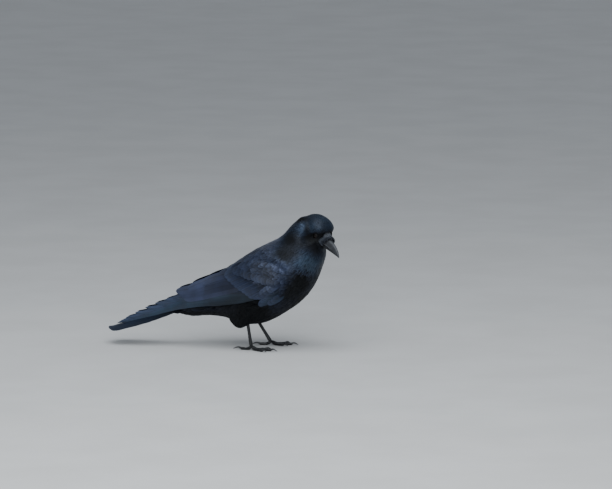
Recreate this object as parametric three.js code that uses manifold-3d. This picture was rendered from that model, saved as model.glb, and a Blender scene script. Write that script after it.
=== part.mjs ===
// A carrion crow standing at rest, life size, as a still museum model: hunched on both feet with the wings
// folded over the tail, the crown feathers raised into a dome, and the head turned to its right and lowered.
// Millimetres. +X is the way the bird faces, +Y its left side and +Z up, with the soles on Z = 0.
// The solids are the outer form of the plumage; each named part of the bird is one closed solid.
import * as THREE from "three";
import { mergeVertices } from "three/addons/utils/BufferGeometryUtils.js";
import Module from "manifold-3d";

const wasm = await Module();
wasm.setup();

// ---------- Driving dimensions ----------

const GAP = 0.3; // clearance between neighbouring solids
const RIGHT = -1; // sign of Y on the bird's right side
const LEFT = 1;

// Trunk and neck: rings from the tail root to the inside of the head. Each ring joins a point of the back to a
// point of the belly, both [x, z], with the half width there and how far the ring is shifted along Y.
const TRUNK_RINGS = [
  { back: [-98, 72], belly: [-98, 72], half: 0, shift: 0 },
  { back: [-86, 86], belly: [-88, 59], half: 15, shift: 0 },
  { back: [-62, 102], belly: [-64, 54], half: 26, shift: 0 },
  { back: [-30, 120], belly: [-30, 56], half: 38, shift: 0 },
  { back: [4, 141], belly: [8, 53], half: 48, shift: 0 },
  { back: [32, 160], belly: [46, 42], half: 56, shift: 0 },
  { back: [57, 175], belly: [80, 47], half: 59, shift: 0 },
  { back: [78, 186], belly: [112, 65], half: 59, shift: 0 },
  { back: [94, 193.5], belly: [140, 86], half: 56, shift: 0 },
  { back: [107, 203], belly: [159, 108], half: 51, shift: 0 },
  { back: [120, 217], belly: [171, 133], half: 44, shift: -1 },
  { back: [133, 230], belly: [180, 158], half: 37, shift: -4 },
  { back: [146, 236], belly: [184, 178], half: 29, shift: -7 },
  { back: [170, 208], belly: [170, 208], half: 0, shift: -8 },
];
const TRUNK_ROUNDNESS = 2.3; // exponent of the rings' superellipse
const NECK_BASE = { back: [96, 196], belly: [162, 112] }; // line across the trunk where the neck begins
const NECK_TOP = { back: [124, 232], belly: [188, 168] }; // line where the neck meets the head

// Head: its own axes are forward along the bill, left, and up from the crown.
const HEAD_CENTRE = [170.3, -8, 208];
const HEAD_YAW = 45; // turned to the right, degrees
const HEAD_PITCH = 18; // bill lowered, degrees
const FACE_RINGS = [
  { at: -30, top: 0, low: 0, half: 0 },
  { at: -24, top: 14, low: -13, half: 16 },
  { at: -10, top: 20, low: -21, half: 22 },
  { at: 4, top: 20, low: -22, half: 21 },
  { at: 14, top: 14, low: -20, half: 18.2 },
  { at: 23, top: 9.5, low: -17.5, half: 14.6 },
  { at: 31, top: 6, low: -16.2, half: 10.6 },
  { at: 37, top: -6, low: -15.4, half: 6 },
  { at: 40, top: -12, low: -12, half: 0 },
];
const CROWN = { centre: [0, 0, 7], front: 28, rear: 38, half: 25, top: 25, low: 8 };
const BRISTLE_PAD = { centre: [26, 0, -2], front: 18, rear: 14, half: 11, top: 8.4, low: 5 };
const EYE = { centre: [13.5, 11.6, 2.4], radius: 7 };

// Bill halves, along the head's forward axis: the ridge and the lower edge of each, and its half width.
const UPPER_BILL_RINGS = [
  { at: 17, top: -4, low: -4, half: 0 },
  { at: 19, top: 1, low: -8.6, half: 9.2 },
  { at: 30, top: 4.8, low: -9, half: 9 },
  { at: 42, top: 4.2, low: -9.6, half: 7.2 },
  { at: 52, top: 2.2, low: -10.4, half: 5.7 },
  { at: 61, top: -1.2, low: -11.4, half: 4.3 },
  { at: 68, top: -5.8, low: -12.7, half: 3 },
  { at: 73, top: -10.8, low: -14.3, half: 1.4 },
  { at: 75, top: -14.6, low: -14.6, half: 0 },
];
const LOWER_BILL_RINGS = [
  { at: 17, top: -12, low: -12, half: 0 },
  { at: 19, top: -9.2, low: -15.2, half: 8.8 },
  { at: 30, top: -9.5, low: -16, half: 8 },
  { at: 42, top: -10.1, low: -16, half: 6.3 },
  { at: 52, top: -10.9, low: -15.6, half: 4.9 },
  { at: 61, top: -12, low: -15, half: 3.3 },
  { at: 68, top: -13.3, low: -14.6, half: 1.6 },
  { at: 70, top: -14.1, low: -14.1, half: 0 },
];

// How far down its depth each half of the bill is widest, so that the two meet along a sharp edge.
const UPPER_BILL_WIDEST = 0.93;
const LOWER_BILL_WIDEST = 0.1;

// Folded wing of the right side: rings from the wrist to the tip of the longest tertial. Each joins an upper
// to a lower point, both [x, y, z], with the bulge of its middle and its thickness.
const WING_RINGS = [
  { top: [131, -49, 121], low: [131, -49, 121], out: 0, thick: 0 },
  { top: [125, -46, 140], low: [124, -47, 102], out: 4, thick: 6 },
  { top: [108, -44, 156], low: [108, -51, 91], out: 10, thick: 9 },
  { top: [82, -41, 163], low: [84, -54, 81], out: 13, thick: 10 },
  { top: [52, -35, 162], low: [58, -55, 82], out: 13, thick: 9 },
  { top: [19, -24, 148], low: [26, -52, 78], out: 12, thick: 8 },
  { top: [-12, -16, 135], low: [-18, -44, 76], out: 10, thick: 7 },
  { top: [-40, -11, 122], low: [-46, -36, 77], out: 7, thick: 5 },
  { top: [-70, -7.5, 107], low: [-66, -29, 82], out: 4, thick: 4 },
  { top: [-84, -7, 99.5], low: [-80, -22, 87], out: 2, thick: 3 },
  { top: [-89, -15, 94], low: [-89, -15, 94], out: 0, thick: 0 },
];
// The primaries, which run out under the tertials to the wing tip.
const PRIMARY_RINGS = [
  { top: [2, -36, 84], low: [2, -36, 84], out: 0, thick: 0 },
  { top: [-14, -24, 98], low: [-16, -41, 72], out: 3, thick: 4 },
  { top: [-50, -15, 98], low: [-50, -33, 70.5], out: 4, thick: 4 },
  { top: [-90, -8, 88], low: [-88, -23, 67], out: 3, thick: 3.5 },
  { top: [-126, -6, 73], low: [-124, -16, 58.5], out: 2, thick: 3 },
  { top: [-158, -6, 61.5], low: [-156, -12, 49.5], out: 1, thick: 2.4 },
  { top: [-178, -6.5, 50], low: [-177, -10, 43], out: 0.5, thick: 1.8 },
  { top: [-187.5, -8, 41], low: [-187.5, -8, 41], out: 0, thick: 0 },
];
const BLADE_ROUNDNESS = 2.4; // exponent of the wing rings' lens
const WING_CLEARING = 22; // how far outside a wing the trunk is cut back

// Closed tail: the height of its middle, half width, how far its edges hang, and thickness.
const TAIL_RINGS = [
  { at: -56, height: 76, half: 0, droop: 0, thick: 0 },
  { at: -64, height: 72, half: 16, droop: 3, thick: 7 },
  { at: -92, height: 62.5, half: 23, droop: 6.5, thick: 6.5 },
  { at: -128, height: 50.5, half: 28, droop: 9, thick: 5 },
  { at: -160, height: 40.5, half: 31, droop: 9.5, thick: 4 },
  { at: -186, height: 32, half: 31, droop: 8, thick: 3 },
  { at: -199, height: 28, half: 22, droop: 4, thick: 2.4 },
  { at: -204, height: 26.5, half: 0, droop: 0, thick: 0 },
];

const TAIL_ROUNDNESS = 2.6; // exponent of the tail rings' lens

// Legs. Heel and ankle are [x, y, z]; the feathered thigh hangs from the belly round the heel.
const LEGS = [
  { name: "right", side: RIGHT, heel: [47, -31, 62], ankle: [56, -33, 8], thigh: [36, -31], turn: -7 },
  { name: "left", side: LEFT, heel: [44, 31, 58], ankle: [77, 33, 8], thigh: [41, 31], turn: 6 },
];
// The thigh leans forward towards the knee, and its rear edge sweeps up behind.
const THIGH = { top: 84, bottom: 36, half: 15, front: 27, rear: 30, lean: 12, sweep: 3, taper: 0.78, fullness: 0.8 };
const TARSUS_RADIUS = { heel: 4, shaft: 2.6, ankle: 3.4 };
const ANKLE_KNUCKLE = { radius: 4.4, below: 1.6 };
// Toes, numbered as usual from the hind toe. The bearing is from straight ahead towards the bird's midline.
const TOES = [
  { number: 1, bearing: 174, length: 21, radius: 2.7, claw: 17, pads: 2 },
  { number: 2, bearing: 27, length: 27, radius: 2.5, claw: 12, pads: 2 },
  { number: 3, bearing: -1, length: 38, radius: 2.7, claw: 13, pads: 3 },
  { number: 4, bearing: -26, length: 29, radius: 2.4, claw: 11, pads: 4 },
];
const SOLE_CUT = 0.5; // depth of toe that the ground flattens
// Claws: how far each is sunk in its toe, its thickness at root and tip, and the height of its arch and tip.
const CLAW = { sunk: 2.5, root: 2.1, tip: 0.6, arch: 1.5, tipHeight: 0.9 };

const FINISHES = {
  plumage: new THREE.MeshStandardMaterial({ color: 0x14161d, roughness: 0.5, metalness: 0 }),
  flight: new THREE.MeshStandardMaterial({ color: 0x171b26, roughness: 0.4, metalness: 0 }),
  bill: new THREE.MeshStandardMaterial({ color: 0x24262b, roughness: 0.38, metalness: 0 }),
  eye: new THREE.MeshStandardMaterial({ color: 0x120c08, roughness: 0.08, metalness: 0 }),
  foot: new THREE.MeshStandardMaterial({ color: 0x17171a, roughness: 0.5, metalness: 0 }),
  claw: new THREE.MeshStandardMaterial({ color: 0x0e0e10, roughness: 0.35, metalness: 0 }),
};

// ---------- Shapes ----------

const radians = THREE.MathUtils.degToRad;
const lerp = THREE.MathUtils.lerp;

// A smooth function of 0 to 1 that passes through evenly spaced values.
function through(values) {
  const curve = new THREE.CatmullRomCurve3(
    values.map((value) => new THREE.Vector3(value, 0, 0)),
    false,
    "catmullrom",
    0.5,
  );
  return (t) => curve.getPoint(t).x;
}

// A smooth curve of points, from a list of [x, y, z].
function path(points) {
  const curve = new THREE.CatmullRomCurve3(
    points.map((point) => new THREE.Vector3(...point)),
    false,
    "catmullrom",
    0.5,
  );
  return (t) => curve.getPoint(t);
}

// A closed surface: a sphere whose vertices go where place(angle, t) says, with t from 0 to 1 pole to pole.
function shell(around, along, place) {
  const geometry = new THREE.SphereGeometry(1, around, along);
  const { position, uv } = geometry.attributes;
  for (let i = 0; i < position.count; i++) {
    const t = THREE.MathUtils.clamp(1 - uv.getY(i), 0, 1);
    const turn = t === 0 || t === 1 ? 0 : uv.getX(i);
    position.setXYZ(i, ...place(2 * Math.PI * turn, t).toArray());
  }
  return geometry;
}

// A rounded power of the sine or cosine, which keeps its sign.
const power = (value, exponent) => Math.sign(value) * Math.abs(value) ** (2 / exponent);

// The solid of a closed geometry, with its faces turned outwards, and grown all round along its normals.
function solid(geometry, grow = 0) {
  const bare = geometry.clone();
  bare.deleteAttribute("normal");
  bare.deleteAttribute("uv");
  const merged = mergeVertices(bare, 1e-3);
  const { array } = merged.attributes.position;
  const make = () =>
    new wasm.Manifold(
      new wasm.Mesh({ numProp: 3, vertProperties: array, triVerts: new Uint32Array(merged.index.array) }),
    );
  if (make().volume() < 0) merged.index.array.reverse();
  merged.computeVertexNormals();
  const normals = merged.attributes.normal.array;
  for (let i = 0; i < array.length; i++) array[i] += grow * normals[i];
  return make();
}

// The largest of a solid's separate bodies.
function largest(made) {
  return made.decompose().reduce((a, b) => (b.volume() > a.volume() ? b : a));
}

// A named mesh of a solid.
function node(name, made, material) {
  const { numProp, vertProperties, triVerts } = largest(made).getMesh();
  const count = vertProperties.length / numProp;
  const corners = new Float32Array(3 * count);
  for (let i = 0; i < count; i++) corners.set(vertProperties.subarray(i * numProp, i * numProp + 3), 3 * i);
  const geometry = new THREE.BufferGeometry();
  geometry.setAttribute("position", new THREE.BufferAttribute(corners, 3));
  geometry.setIndex(new THREE.BufferAttribute(triVerts, 1));
  geometry.computeVertexNormals();
  const mesh = new THREE.Mesh(geometry, material);
  mesh.name = name;
  return mesh;
}

// The half of a solid on one side of the line from back to belly, taken straight across the bird and GAP / 2
// short of it. Ahead is towards the bill.
function sideOf(made, line, ahead) {
  const across = new THREE.Vector2(line.belly[0] - line.back[0], line.belly[1] - line.back[1]).normalize();
  const normal = new THREE.Vector3(-across.y, 0, across.x).multiplyScalar(ahead ? 1 : -1);
  const offset = normal.x * line.back[0] + normal.z * line.back[1] + GAP / 2;
  return made.trimByPlane(normal.toArray(), offset);
}

// ---------- Trunk and neck ----------

function trunkForm() {
  const backX = through(TRUNK_RINGS.map((ring) => ring.back[0]));
  const backZ = through(TRUNK_RINGS.map((ring) => ring.back[1]));
  const bellyX = through(TRUNK_RINGS.map((ring) => ring.belly[0]));
  const bellyZ = through(TRUNK_RINGS.map((ring) => ring.belly[1]));
  const half = through(TRUNK_RINGS.map((ring) => ring.half));
  const shift = through(TRUNK_RINGS.map((ring) => ring.shift));
  const place = (angle, t) => {
    const up = (1 + power(Math.cos(angle), TRUNK_ROUNDNESS)) / 2;
    return new THREE.Vector3(
      lerp(bellyX(t), backX(t), up),
      shift(t) + half(t) * power(Math.sin(angle), TRUNK_ROUNDNESS),
      lerp(bellyZ(t), backZ(t), up),
    );
  };
  return solid(shell(22, 20, place));
}

// ---------- Head ----------

const headFrame = new THREE.Matrix4().makeTranslation(...HEAD_CENTRE);
headFrame.multiply(new THREE.Matrix4().makeRotationZ(radians(-HEAD_YAW)));
headFrame.multiply(new THREE.Matrix4().makeRotationY(radians(HEAD_PITCH)));

// A form along the head's forward axis, with an oval ring at each station. The share says how far down the
// ring it is widest.
function headLoft(rings, around, along, share, grow = 0) {
  const at = through(rings.map((ring) => ring.at));
  const top = through(rings.map((ring) => ring.top));
  const low = through(rings.map((ring) => ring.low));
  const half = through(rings.map((ring) => ring.half));
  const place = (angle, t) => {
    const middle = lerp(top(t), low(t), share);
    const reach = Math.cos(angle) > 0 ? top(t) - middle : middle - low(t);
    return new THREE.Vector3(
      at(t),
      half(t) * Math.sin(angle),
      middle + reach * Math.cos(angle),
    ).applyMatrix4(headFrame);
  };
  return solid(shell(around, along, place), grow);
}

// An egg-shaped form on the head, with its own reach forwards, backwards, up and down.
function headEgg({ centre, front, rear, half, top, low }, around, along) {
  const place = (angle, t) => {
    const ring = Math.sin(Math.PI * t);
    const ahead = -Math.cos(Math.PI * t);
    const up = ring * Math.cos(angle);
    return new THREE.Vector3(
      centre[0] + ahead * (ahead > 0 ? front : rear),
      centre[1] + half * ring * Math.sin(angle),
      centre[2] + up * (up > 0 ? top : low),
    ).applyMatrix4(headFrame);
  };
  return solid(shell(around, along, place));
}

function eyeBall(side, grow = 0) {
  const [ahead, across, up] = EYE.centre;
  const place = (angle, t) => {
    const ring = Math.sin(Math.PI * t) * EYE.radius;
    return new THREE.Vector3(
      ahead + ring * Math.cos(angle),
      side * (across - Math.cos(Math.PI * t) * EYE.radius),
      up + ring * Math.sin(angle),
    ).applyMatrix4(headFrame);
  };
  return solid(shell(12, 8, place), grow);
}

const upperBill = (grow = 0) => headLoft(UPPER_BILL_RINGS, 14, 14, UPPER_BILL_WIDEST, grow);
const lowerBill = (grow = 0) => headLoft(LOWER_BILL_RINGS, 12, 10, LOWER_BILL_WIDEST, grow);

// ---------- Wings and tail ----------

// A blade that lies on the flank: each ring is a lens round the arc from its upper to its lower point.
// Clearing pushes its outer face away from the body, for cutting the trunk back.
function blade(rings, side, around, rows, grow = 0, clearing = 0) {
  const top = path(rings.map((ring) => ring.top));
  const low = path(rings.map((ring) => ring.low));
  const out = through(rings.map((ring) => ring.out));
  const thick = through(rings.map((ring) => ring.thick));
  const lengthen = top(1).sub(top(0)).setLength(grow); // how far a grown blade's two tips go past the bare one's
  const place = (angle, t) => {
    const down = (1 - power(Math.cos(angle), BLADE_ROUNDNESS)) / 2;
    const from = top(t);
    const to = low(t);
    const point = from.clone().lerp(to, down);
    const drop = to.clone().sub(from);
    const normal = new THREE.Vector3(0, drop.z, -drop.y);
    if (normal.lengthSq() > 0) normal.normalize();
    const face = Math.sin(angle) * (thick(t) / 2);
    const away = Math.sin(angle) > 0.01 && t > 0 && t < 1 ? clearing : 0;
    point.addScaledVector(normal, 4 * out(t) * down * (1 - down) + face + away);
    if (t === 0) point.sub(lengthen);
    if (t === 1) point.add(lengthen);
    return point.setY(-side * point.y);
  };
  return solid(shell(around, rows, place), grow);
}

const wing = (side, grow = 0, clearing = 0) => blade(WING_RINGS, side, 16, 16, grow, clearing);
const primaries = (side, grow = 0, clearing = 0) => blade(PRIMARY_RINGS, side, 12, 12, grow, clearing);

// The space that a folded wing needs, out to well beyond its outer face.
const wingRoom = (side) => wing(side, GAP, WING_CLEARING);
const primariesRoom = (side) => primaries(side, GAP, WING_CLEARING);

function tail(grow = 0) {
  const at = through(TAIL_RINGS.map((ring) => ring.at));
  const height = through(TAIL_RINGS.map((ring) => ring.height));
  const half = through(TAIL_RINGS.map((ring) => ring.half));
  const droop = through(TAIL_RINGS.map((ring) => ring.droop));
  const thick = through(TAIL_RINGS.map((ring) => ring.thick));
  const place = (angle, t) => {
    const across = power(Math.cos(angle), TAIL_ROUNDNESS);
    return new THREE.Vector3(
      at(t),
      half(t) * across,
      height(t) - droop(t) * across ** 2 + (thick(t) / 2) * Math.sin(angle),
    );
  };
  return solid(shell(18, 11, place), grow);
}

// ---------- Legs ----------

// A rounded rod along a smooth path, with radius(t) and blunt ends.
function rod(points, radius, around, along, grow = 0) {
  const curve = new THREE.CatmullRomCurve3(points.map((point) => new THREE.Vector3(...point)));
  const place = (angle, t) => {
    const centre = curve.getPoint(t);
    const ahead = curve.getTangent(t);
    const side = new THREE.Vector3(0, 1, 0).cross(ahead).cross(ahead).normalize();
    const up = ahead.clone().cross(side);
    const blunt = Math.sqrt(1 - Math.abs(2 * t - 1) ** 8);
    const reach = radius(t) * blunt;
    return centre.addScaledVector(side, reach * Math.cos(angle)).addScaledVector(up, reach * Math.sin(angle));
  };
  return solid(shell(around, along, place), grow);
}

function thigh(leg) {
  const [x, y] = leg.thigh;
  const place = (angle, t) => {
    const ring = Math.sin(Math.PI * t) ** THIGH.fullness;
    const ahead = ring * Math.cos(angle);
    const reach = ahead > 0 ? THIGH.front : THIGH.rear;
    return new THREE.Vector3(
      x + THIGH.lean * (1 - t) + reach * ahead * lerp(1, THIGH.taper, t),
      y + THIGH.half * ring * Math.sin(angle),
      lerp(THIGH.top, THIGH.bottom, t) + THIGH.sweep * ahead * t,
    );
  };
  return solid(shell(14, 9, place));
}

function tarsus(leg, grow = 0) {
  const { heel, shaft, ankle } = TARSUS_RADIUS;
  const radius = (t) => shaft + (heel - shaft) * (1 - t) ** 6 + (ankle - shaft) * t ** 5;
  const middle = leg.heel.map((value, i) => (value + leg.ankle[i]) / 2);
  return rod([leg.heel, middle, leg.ankle], radius, 10, 9, grow);
}

function ankleKnuckle(leg, grow = 0) {
  const [x, y, z] = leg.ankle;
  const geometry = new THREE.SphereGeometry(ANKLE_KNUCKLE.radius, 10, 6);
  return solid(geometry.translate(x, y, z - ANKLE_KNUCKLE.below), grow);
}

// Where a toe points, from above.
function toeHeading(leg, toe) {
  const angle = radians(leg.turn - leg.side * toe.bearing);
  return new THREE.Vector3(Math.cos(angle), Math.sin(angle), 0);
}

// A point a distance out along a toe, at a height.
function alongToe(leg, toe, distance, height) {
  const heading = toeHeading(leg, toe);
  return [leg.ankle[0] + heading.x * distance, leg.ankle[1] + heading.y * distance, height];
}

function toeForm(leg, toe, grow = 0) {
  const low = toe.radius - SOLE_CUT;
  const points = [
    alongToe(leg, toe, 0, leg.ankle[2] - 1),
    alongToe(leg, toe, 0.2 * toe.length, low + 1.6),
    alongToe(leg, toe, 0.45 * toe.length, low + 0.1),
    alongToe(leg, toe, 0.75 * toe.length, low),
    alongToe(leg, toe, toe.length, low),
  ];
  const radius = (t) => toe.radius * (1.02 - 0.12 * t - 0.07 * Math.cos(2 * Math.PI * toe.pads * t));
  return rod(points, radius, 7, 8, grow);
}

function claw(leg, toe, grow = 0) {
  const start = toe.length - CLAW.sunk;
  const points = [
    alongToe(leg, toe, start, toe.radius),
    alongToe(leg, toe, start + 0.4 * toe.claw, toe.radius + CLAW.arch),
    alongToe(leg, toe, start + 0.75 * toe.claw, toe.radius),
    alongToe(leg, toe, start + toe.claw, CLAW.tipHeight),
  ];
  const radius = (t) => lerp(CLAW.root, CLAW.tip, t);
  return rod(points, radius, 6, 6, grow);
}

// The part of a solid above the ground.
const aboveGround = (made) => made.trimByPlane([0, 0, 1], 0);

// ---------- The crow ----------

const crow = new THREE.Group();
crow.name = "crow";

// The head, neck and trunk are one form, parted by two thin cuts.
const bills = upperBill(GAP).add(lowerBill(GAP));
const eyes = eyeBall(RIGHT, GAP).add(eyeBall(LEFT, GAP));
const headForm = headLoft(FACE_RINGS, 16, 11, 0.5)
  .add(headEgg(CROWN, 16, 10))
  .add(headEgg(BRISTLE_PAD, 10, 7));
const bodyForm = trunkForm();
const wholeForm = bodyForm.add(headForm);
const head = sideOf(wholeForm, NECK_TOP, true).subtract(bills).subtract(eyes);
const neck = sideOf(sideOf(wholeForm, NECK_TOP, false), NECK_BASE, true);

let trunk = sideOf(wholeForm, NECK_BASE, false).subtract(tail(GAP));
let neckCleared = neck;
for (const side of [RIGHT, LEFT]) {
  trunk = trunk.subtract(wingRoom(side)).subtract(primariesRoom(side));
  neckCleared = neckCleared.subtract(wingRoom(side));
}
const trunkCleared = largest(trunk);

crow.add(node("head", head, FINISHES.plumage));
crow.add(node("neck", neckCleared, FINISHES.plumage));
crow.add(node("trunk", trunkCleared, FINISHES.plumage));
crow.add(node("bill_upper", upperBill(), FINISHES.bill));
crow.add(node("bill_lower", lowerBill(), FINISHES.bill));
crow.add(node("tail", tail(), FINISHES.flight));

for (const [name, side] of [["right", RIGHT], ["left", LEFT]]) {
  crow.add(node(`eye_${name}`, eyeBall(side), FINISHES.eye));
  crow.add(node(`wing_${name}`, wing(side), FINISHES.flight));
  const hand = primaries(side).subtract(wingRoom(side)).subtract(tail(GAP));
  crow.add(node(`primaries_${name}`, hand, FINISHES.flight));
}

for (const leg of LEGS) {
  const shank = tarsus(leg).add(ankleKnuckle(leg));
  const shankRoom = tarsus(leg, GAP).add(ankleKnuckle(leg, GAP));
  const bodyRoom = bodyForm.translate([0, 0, -GAP]).add(bodyForm);
  const thighForm = thigh(leg).subtract(bodyRoom);
  crow.add(node(`thigh_${leg.name}`, thighForm.subtract(shankRoom), FINISHES.plumage));
  crow.add(node(`tarsus_${leg.name}`, aboveGround(shank.subtract(bodyRoom)), FINISHES.foot));
  let room = shankRoom;
  for (const toe of TOES) {
    const form = toeForm(leg, toe).subtract(room).subtract(claw(leg, toe, GAP));
    crow.add(node(`toe_${leg.name}_${toe.number}`, aboveGround(form), FINISHES.foot));
    crow.add(node(`claw_${leg.name}_${toe.number}`, aboveGround(claw(leg, toe)), FINISHES.claw));
    room = room.add(toeForm(leg, toe, GAP));
  }
}

// The origin is the middle of the bird's box, on the ground.
const box = new THREE.Box3().setFromObject(crow);
crow.position.set(-(box.min.x + box.max.x) / 2, -(box.min.y + box.max.y) / 2, -box.min.z);

export default crow;
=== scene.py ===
"""A carrion crow at life size: one skin under solid feathers, with horn, eyes and feet of their own.

Sizes are in millimetres in the row frame, which has +X the way the body faces, +Y its left and +Z up. Places
on the head are in the head's own frame, which has its x towards the bill. Meshes are made in metres.
"""

from __future__ import annotations

import logging
import math
from collections.abc import Iterator
from dataclasses import dataclass, field, replace
from enum import Enum
from functools import cached_property

import bmesh
import bpy
import numpy as np
from mathutils import Matrix, Vector, kdtree
from mathutils.bvhtree import BVHTree


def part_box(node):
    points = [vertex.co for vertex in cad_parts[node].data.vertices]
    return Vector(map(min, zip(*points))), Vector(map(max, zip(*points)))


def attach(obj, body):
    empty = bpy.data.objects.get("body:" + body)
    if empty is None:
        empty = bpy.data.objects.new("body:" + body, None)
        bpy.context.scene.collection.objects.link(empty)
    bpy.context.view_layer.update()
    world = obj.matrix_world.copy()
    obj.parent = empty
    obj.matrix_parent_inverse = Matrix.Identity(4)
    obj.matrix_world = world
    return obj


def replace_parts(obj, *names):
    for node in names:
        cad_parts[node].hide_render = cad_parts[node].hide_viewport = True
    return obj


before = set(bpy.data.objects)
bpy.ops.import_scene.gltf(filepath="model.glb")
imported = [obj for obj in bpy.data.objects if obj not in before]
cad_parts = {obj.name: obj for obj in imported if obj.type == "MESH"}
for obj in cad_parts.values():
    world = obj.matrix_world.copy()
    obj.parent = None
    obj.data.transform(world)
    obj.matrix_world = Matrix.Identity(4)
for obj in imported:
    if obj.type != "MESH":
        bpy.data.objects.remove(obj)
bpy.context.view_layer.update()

LOG = logging.getLogger("crow")
MM = 0.001
RIGHT = -1
LEFT = 1
SEED = 47
BUMP_DEPTH = 0.3 * MM
BODY = "root"
Array = np.ndarray
Chance = np.random.Generator
Material = bpy.types.Material
Mesh = bpy.types.Mesh
Object = bpy.types.Object
Socket = bpy.types.NodeSocket
Tree = bpy.types.NodeTree
Colour = tuple[float, float, float]
Point = tuple[float, float, float]


class Sided:
    """Something that the bird has once on each side."""

    side: int

    @property
    def name(self) -> str:
        """Right or left."""
        return "right" if self.side == RIGHT else "left"


# ---------- Arithmetic ----------


def turns(count: int) -> Array:
    """Angles evenly spread over a full turn."""
    return np.linspace(0, math.tau, count, endpoint=False)


def unit(vectors: Array) -> Array:
    """Scale vectors along the last axis to length one."""
    return vectors / np.maximum(np.linalg.norm(vectors, axis=-1, keepdims=True), 1e-9)


def ease(value: Array, low: float, high: float) -> Array:
    """Rise smoothly from 0 at low to 1 at high."""
    t = np.clip((np.asarray(value, float) - low) / (high - low), 0.0, 1.0)
    return t * t * (3.0 - 2.0 * t)


def through(values: list | tuple | Array, t: Array) -> Array:
    """Pass a smooth curve through evenly spaced values.

    Args:
        values: Numbers or points, one row each.
        t: Where to read the curve, from 0 at the first value to 1 at the last.

    Returns:
        One number or point for each t.
    """
    rows = np.asarray(values, float)
    flat = rows.reshape(len(rows), -1)
    padded = np.vstack([2 * flat[0] - flat[1], flat, 2 * flat[-1] - flat[-2]])
    spot = np.clip(t, 0.0, 1.0) * (len(rows) - 1)
    i = np.minimum(spot.astype(int), len(rows) - 2)
    f = (spot - i)[:, None]
    a, b, c, d = padded[i], padded[i + 1], padded[i + 2], padded[i + 3]
    curve = 2 * b + (c - a) * f + (2 * a - 5 * b + 4 * c - d) * f**2 + (3 * b - a - 3 * c + d) * f**3
    return 0.5 * curve.reshape((len(t),) + rows.shape[1:])


def relax(values: Array, edges: Array, rounds: int, pull: float = 0.5) -> Array:
    """Smooth values over a mesh by moving each towards the mean of its neighbours.

    Args:
        values: One row for each vertex.
        edges: Pairs of vertex numbers.
        rounds: How often to smooth.
        pull: How far each round goes towards the mean.

    Returns:
        The smoothed values.
    """
    result = np.asarray(values, float).copy()
    degree = np.bincount(edges.ravel(), minlength=len(result)).astype(float)
    degree = np.maximum(degree, 1.0).reshape((-1,) + (1,) * (result.ndim - 1))
    for _ in range(rounds):
        total = np.zeros_like(result)
        np.add.at(total, edges[:, 0], result[edges[:, 1]])
        np.add.at(total, edges[:, 1], result[edges[:, 0]])
        result += pull * (total / degree - result)
    return result


# ---------- Meshes ----------


def linked(name: str, data: bpy.types.ID) -> Object:
    """Make an object of some data and put it in the scene."""
    made = bpy.data.objects.new(name, data)
    bpy.context.scene.collection.objects.link(made)
    return made


def store(mesh: Mesh, key: str, numbers: Array) -> None:
    """Keep a number for each point of a mesh."""
    layer = mesh.attributes.new(key, "FLOAT", "POINT")
    layer.data.foreach_set("value", np.asarray(numbers, np.float32))


@dataclass
class Shape:
    """A closed mesh in millimetres, with maps and values at its points."""

    points: Array
    faces: list
    maps: dict[str, Array] = field(default_factory=dict)
    values: dict[str, Array] = field(default_factory=dict)
    rim: Array | None = None

    def joined(self, other: Shape) -> Shape:
        """Put another shape with the same maps and values behind this one."""
        start = len(self.points)
        return Shape(
            np.vstack([self.points, other.points]),
            self.faces + [tuple(i + start for i in face) for face in other.faces],
            {key: np.vstack([self.maps[key], other.maps[key]]) for key in self.maps},
            {key: np.concatenate([self.values[key], other.values[key]]) for key in self.values},
            None if self.rim is None else np.concatenate([self.rim, other.rim]),
        )

    def piece(self, name: str, material: Material, slot: str, outward: bool = False) -> Object:
        """Make the shape an object that rides on the body.

        Args:
            name: The piece's name.
            material: Its finish.
            slot: Not used.
            outward: Whether to turn the faces of a closed shape outwards.

        Returns:
            The object, at the origin.
        """
        mesh = bpy.data.meshes.new(name)
        mesh.from_pydata((self.points * MM).tolist(), [], self.faces)
        corners = np.empty(len(mesh.loops), np.int32)
        mesh.loops.foreach_get("vertex_index", corners)
        for key, spots in self.maps.items():
            layer = mesh.uv_layers.new(name=key)
            layer.data.foreach_set("uv", np.asarray(spots, np.float32)[corners].ravel())
        for key, numbers in self.values.items():
            store(mesh, key, numbers)
        if outward:
            face_outwards(mesh)
        mesh.shade_smooth()
        if self.rim is not None:
            ends = np.empty(len(mesh.edges) * 2, np.int32)
            mesh.edges.foreach_get("vertices", ends)
            sharp = mesh.attributes.new("sharp_edge", "BOOLEAN", "EDGE")
            sharp.data.foreach_set("value", self.rim[ends.reshape(-1, 2)].all(axis=1))
        mesh.materials.append(material)
        made = linked(name, mesh)
        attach(made, BODY)
        return made


def face_outwards(mesh: Mesh) -> None:
    """Turn the faces of a mesh's closed bodies outwards."""
    work = bmesh.new()
    work.from_mesh(mesh)
    bmesh.ops.recalc_face_normals(work, faces=work.faces)
    work.to_mesh(mesh)
    work.free()


def loft(rings: Array) -> tuple[Array, list]:
    """Skin a row of closed rings and close both ends with a pole.

    Args:
        rings: Points of shape (rings, points in a ring, 3).

    Returns:
        The points and the faces.
    """
    count, around, _ = rings.shape
    points = np.vstack([rings.reshape(-1, 3), rings[0].mean(0), rings[-1].mean(0)])
    first = count * around
    faces = []
    for row in range(count - 1):
        for i in range(around):
            j = (i + 1) % around
            faces.append((row * around + i, row * around + j, (row + 1) * around + j, (row + 1) * around + i))
    for i in range(around):
        j = (i + 1) % around
        faces.append((j, i, first))
        faces.append(((count - 1) * around + i, (count - 1) * around + j, first + 1))
    return points, faces


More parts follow.
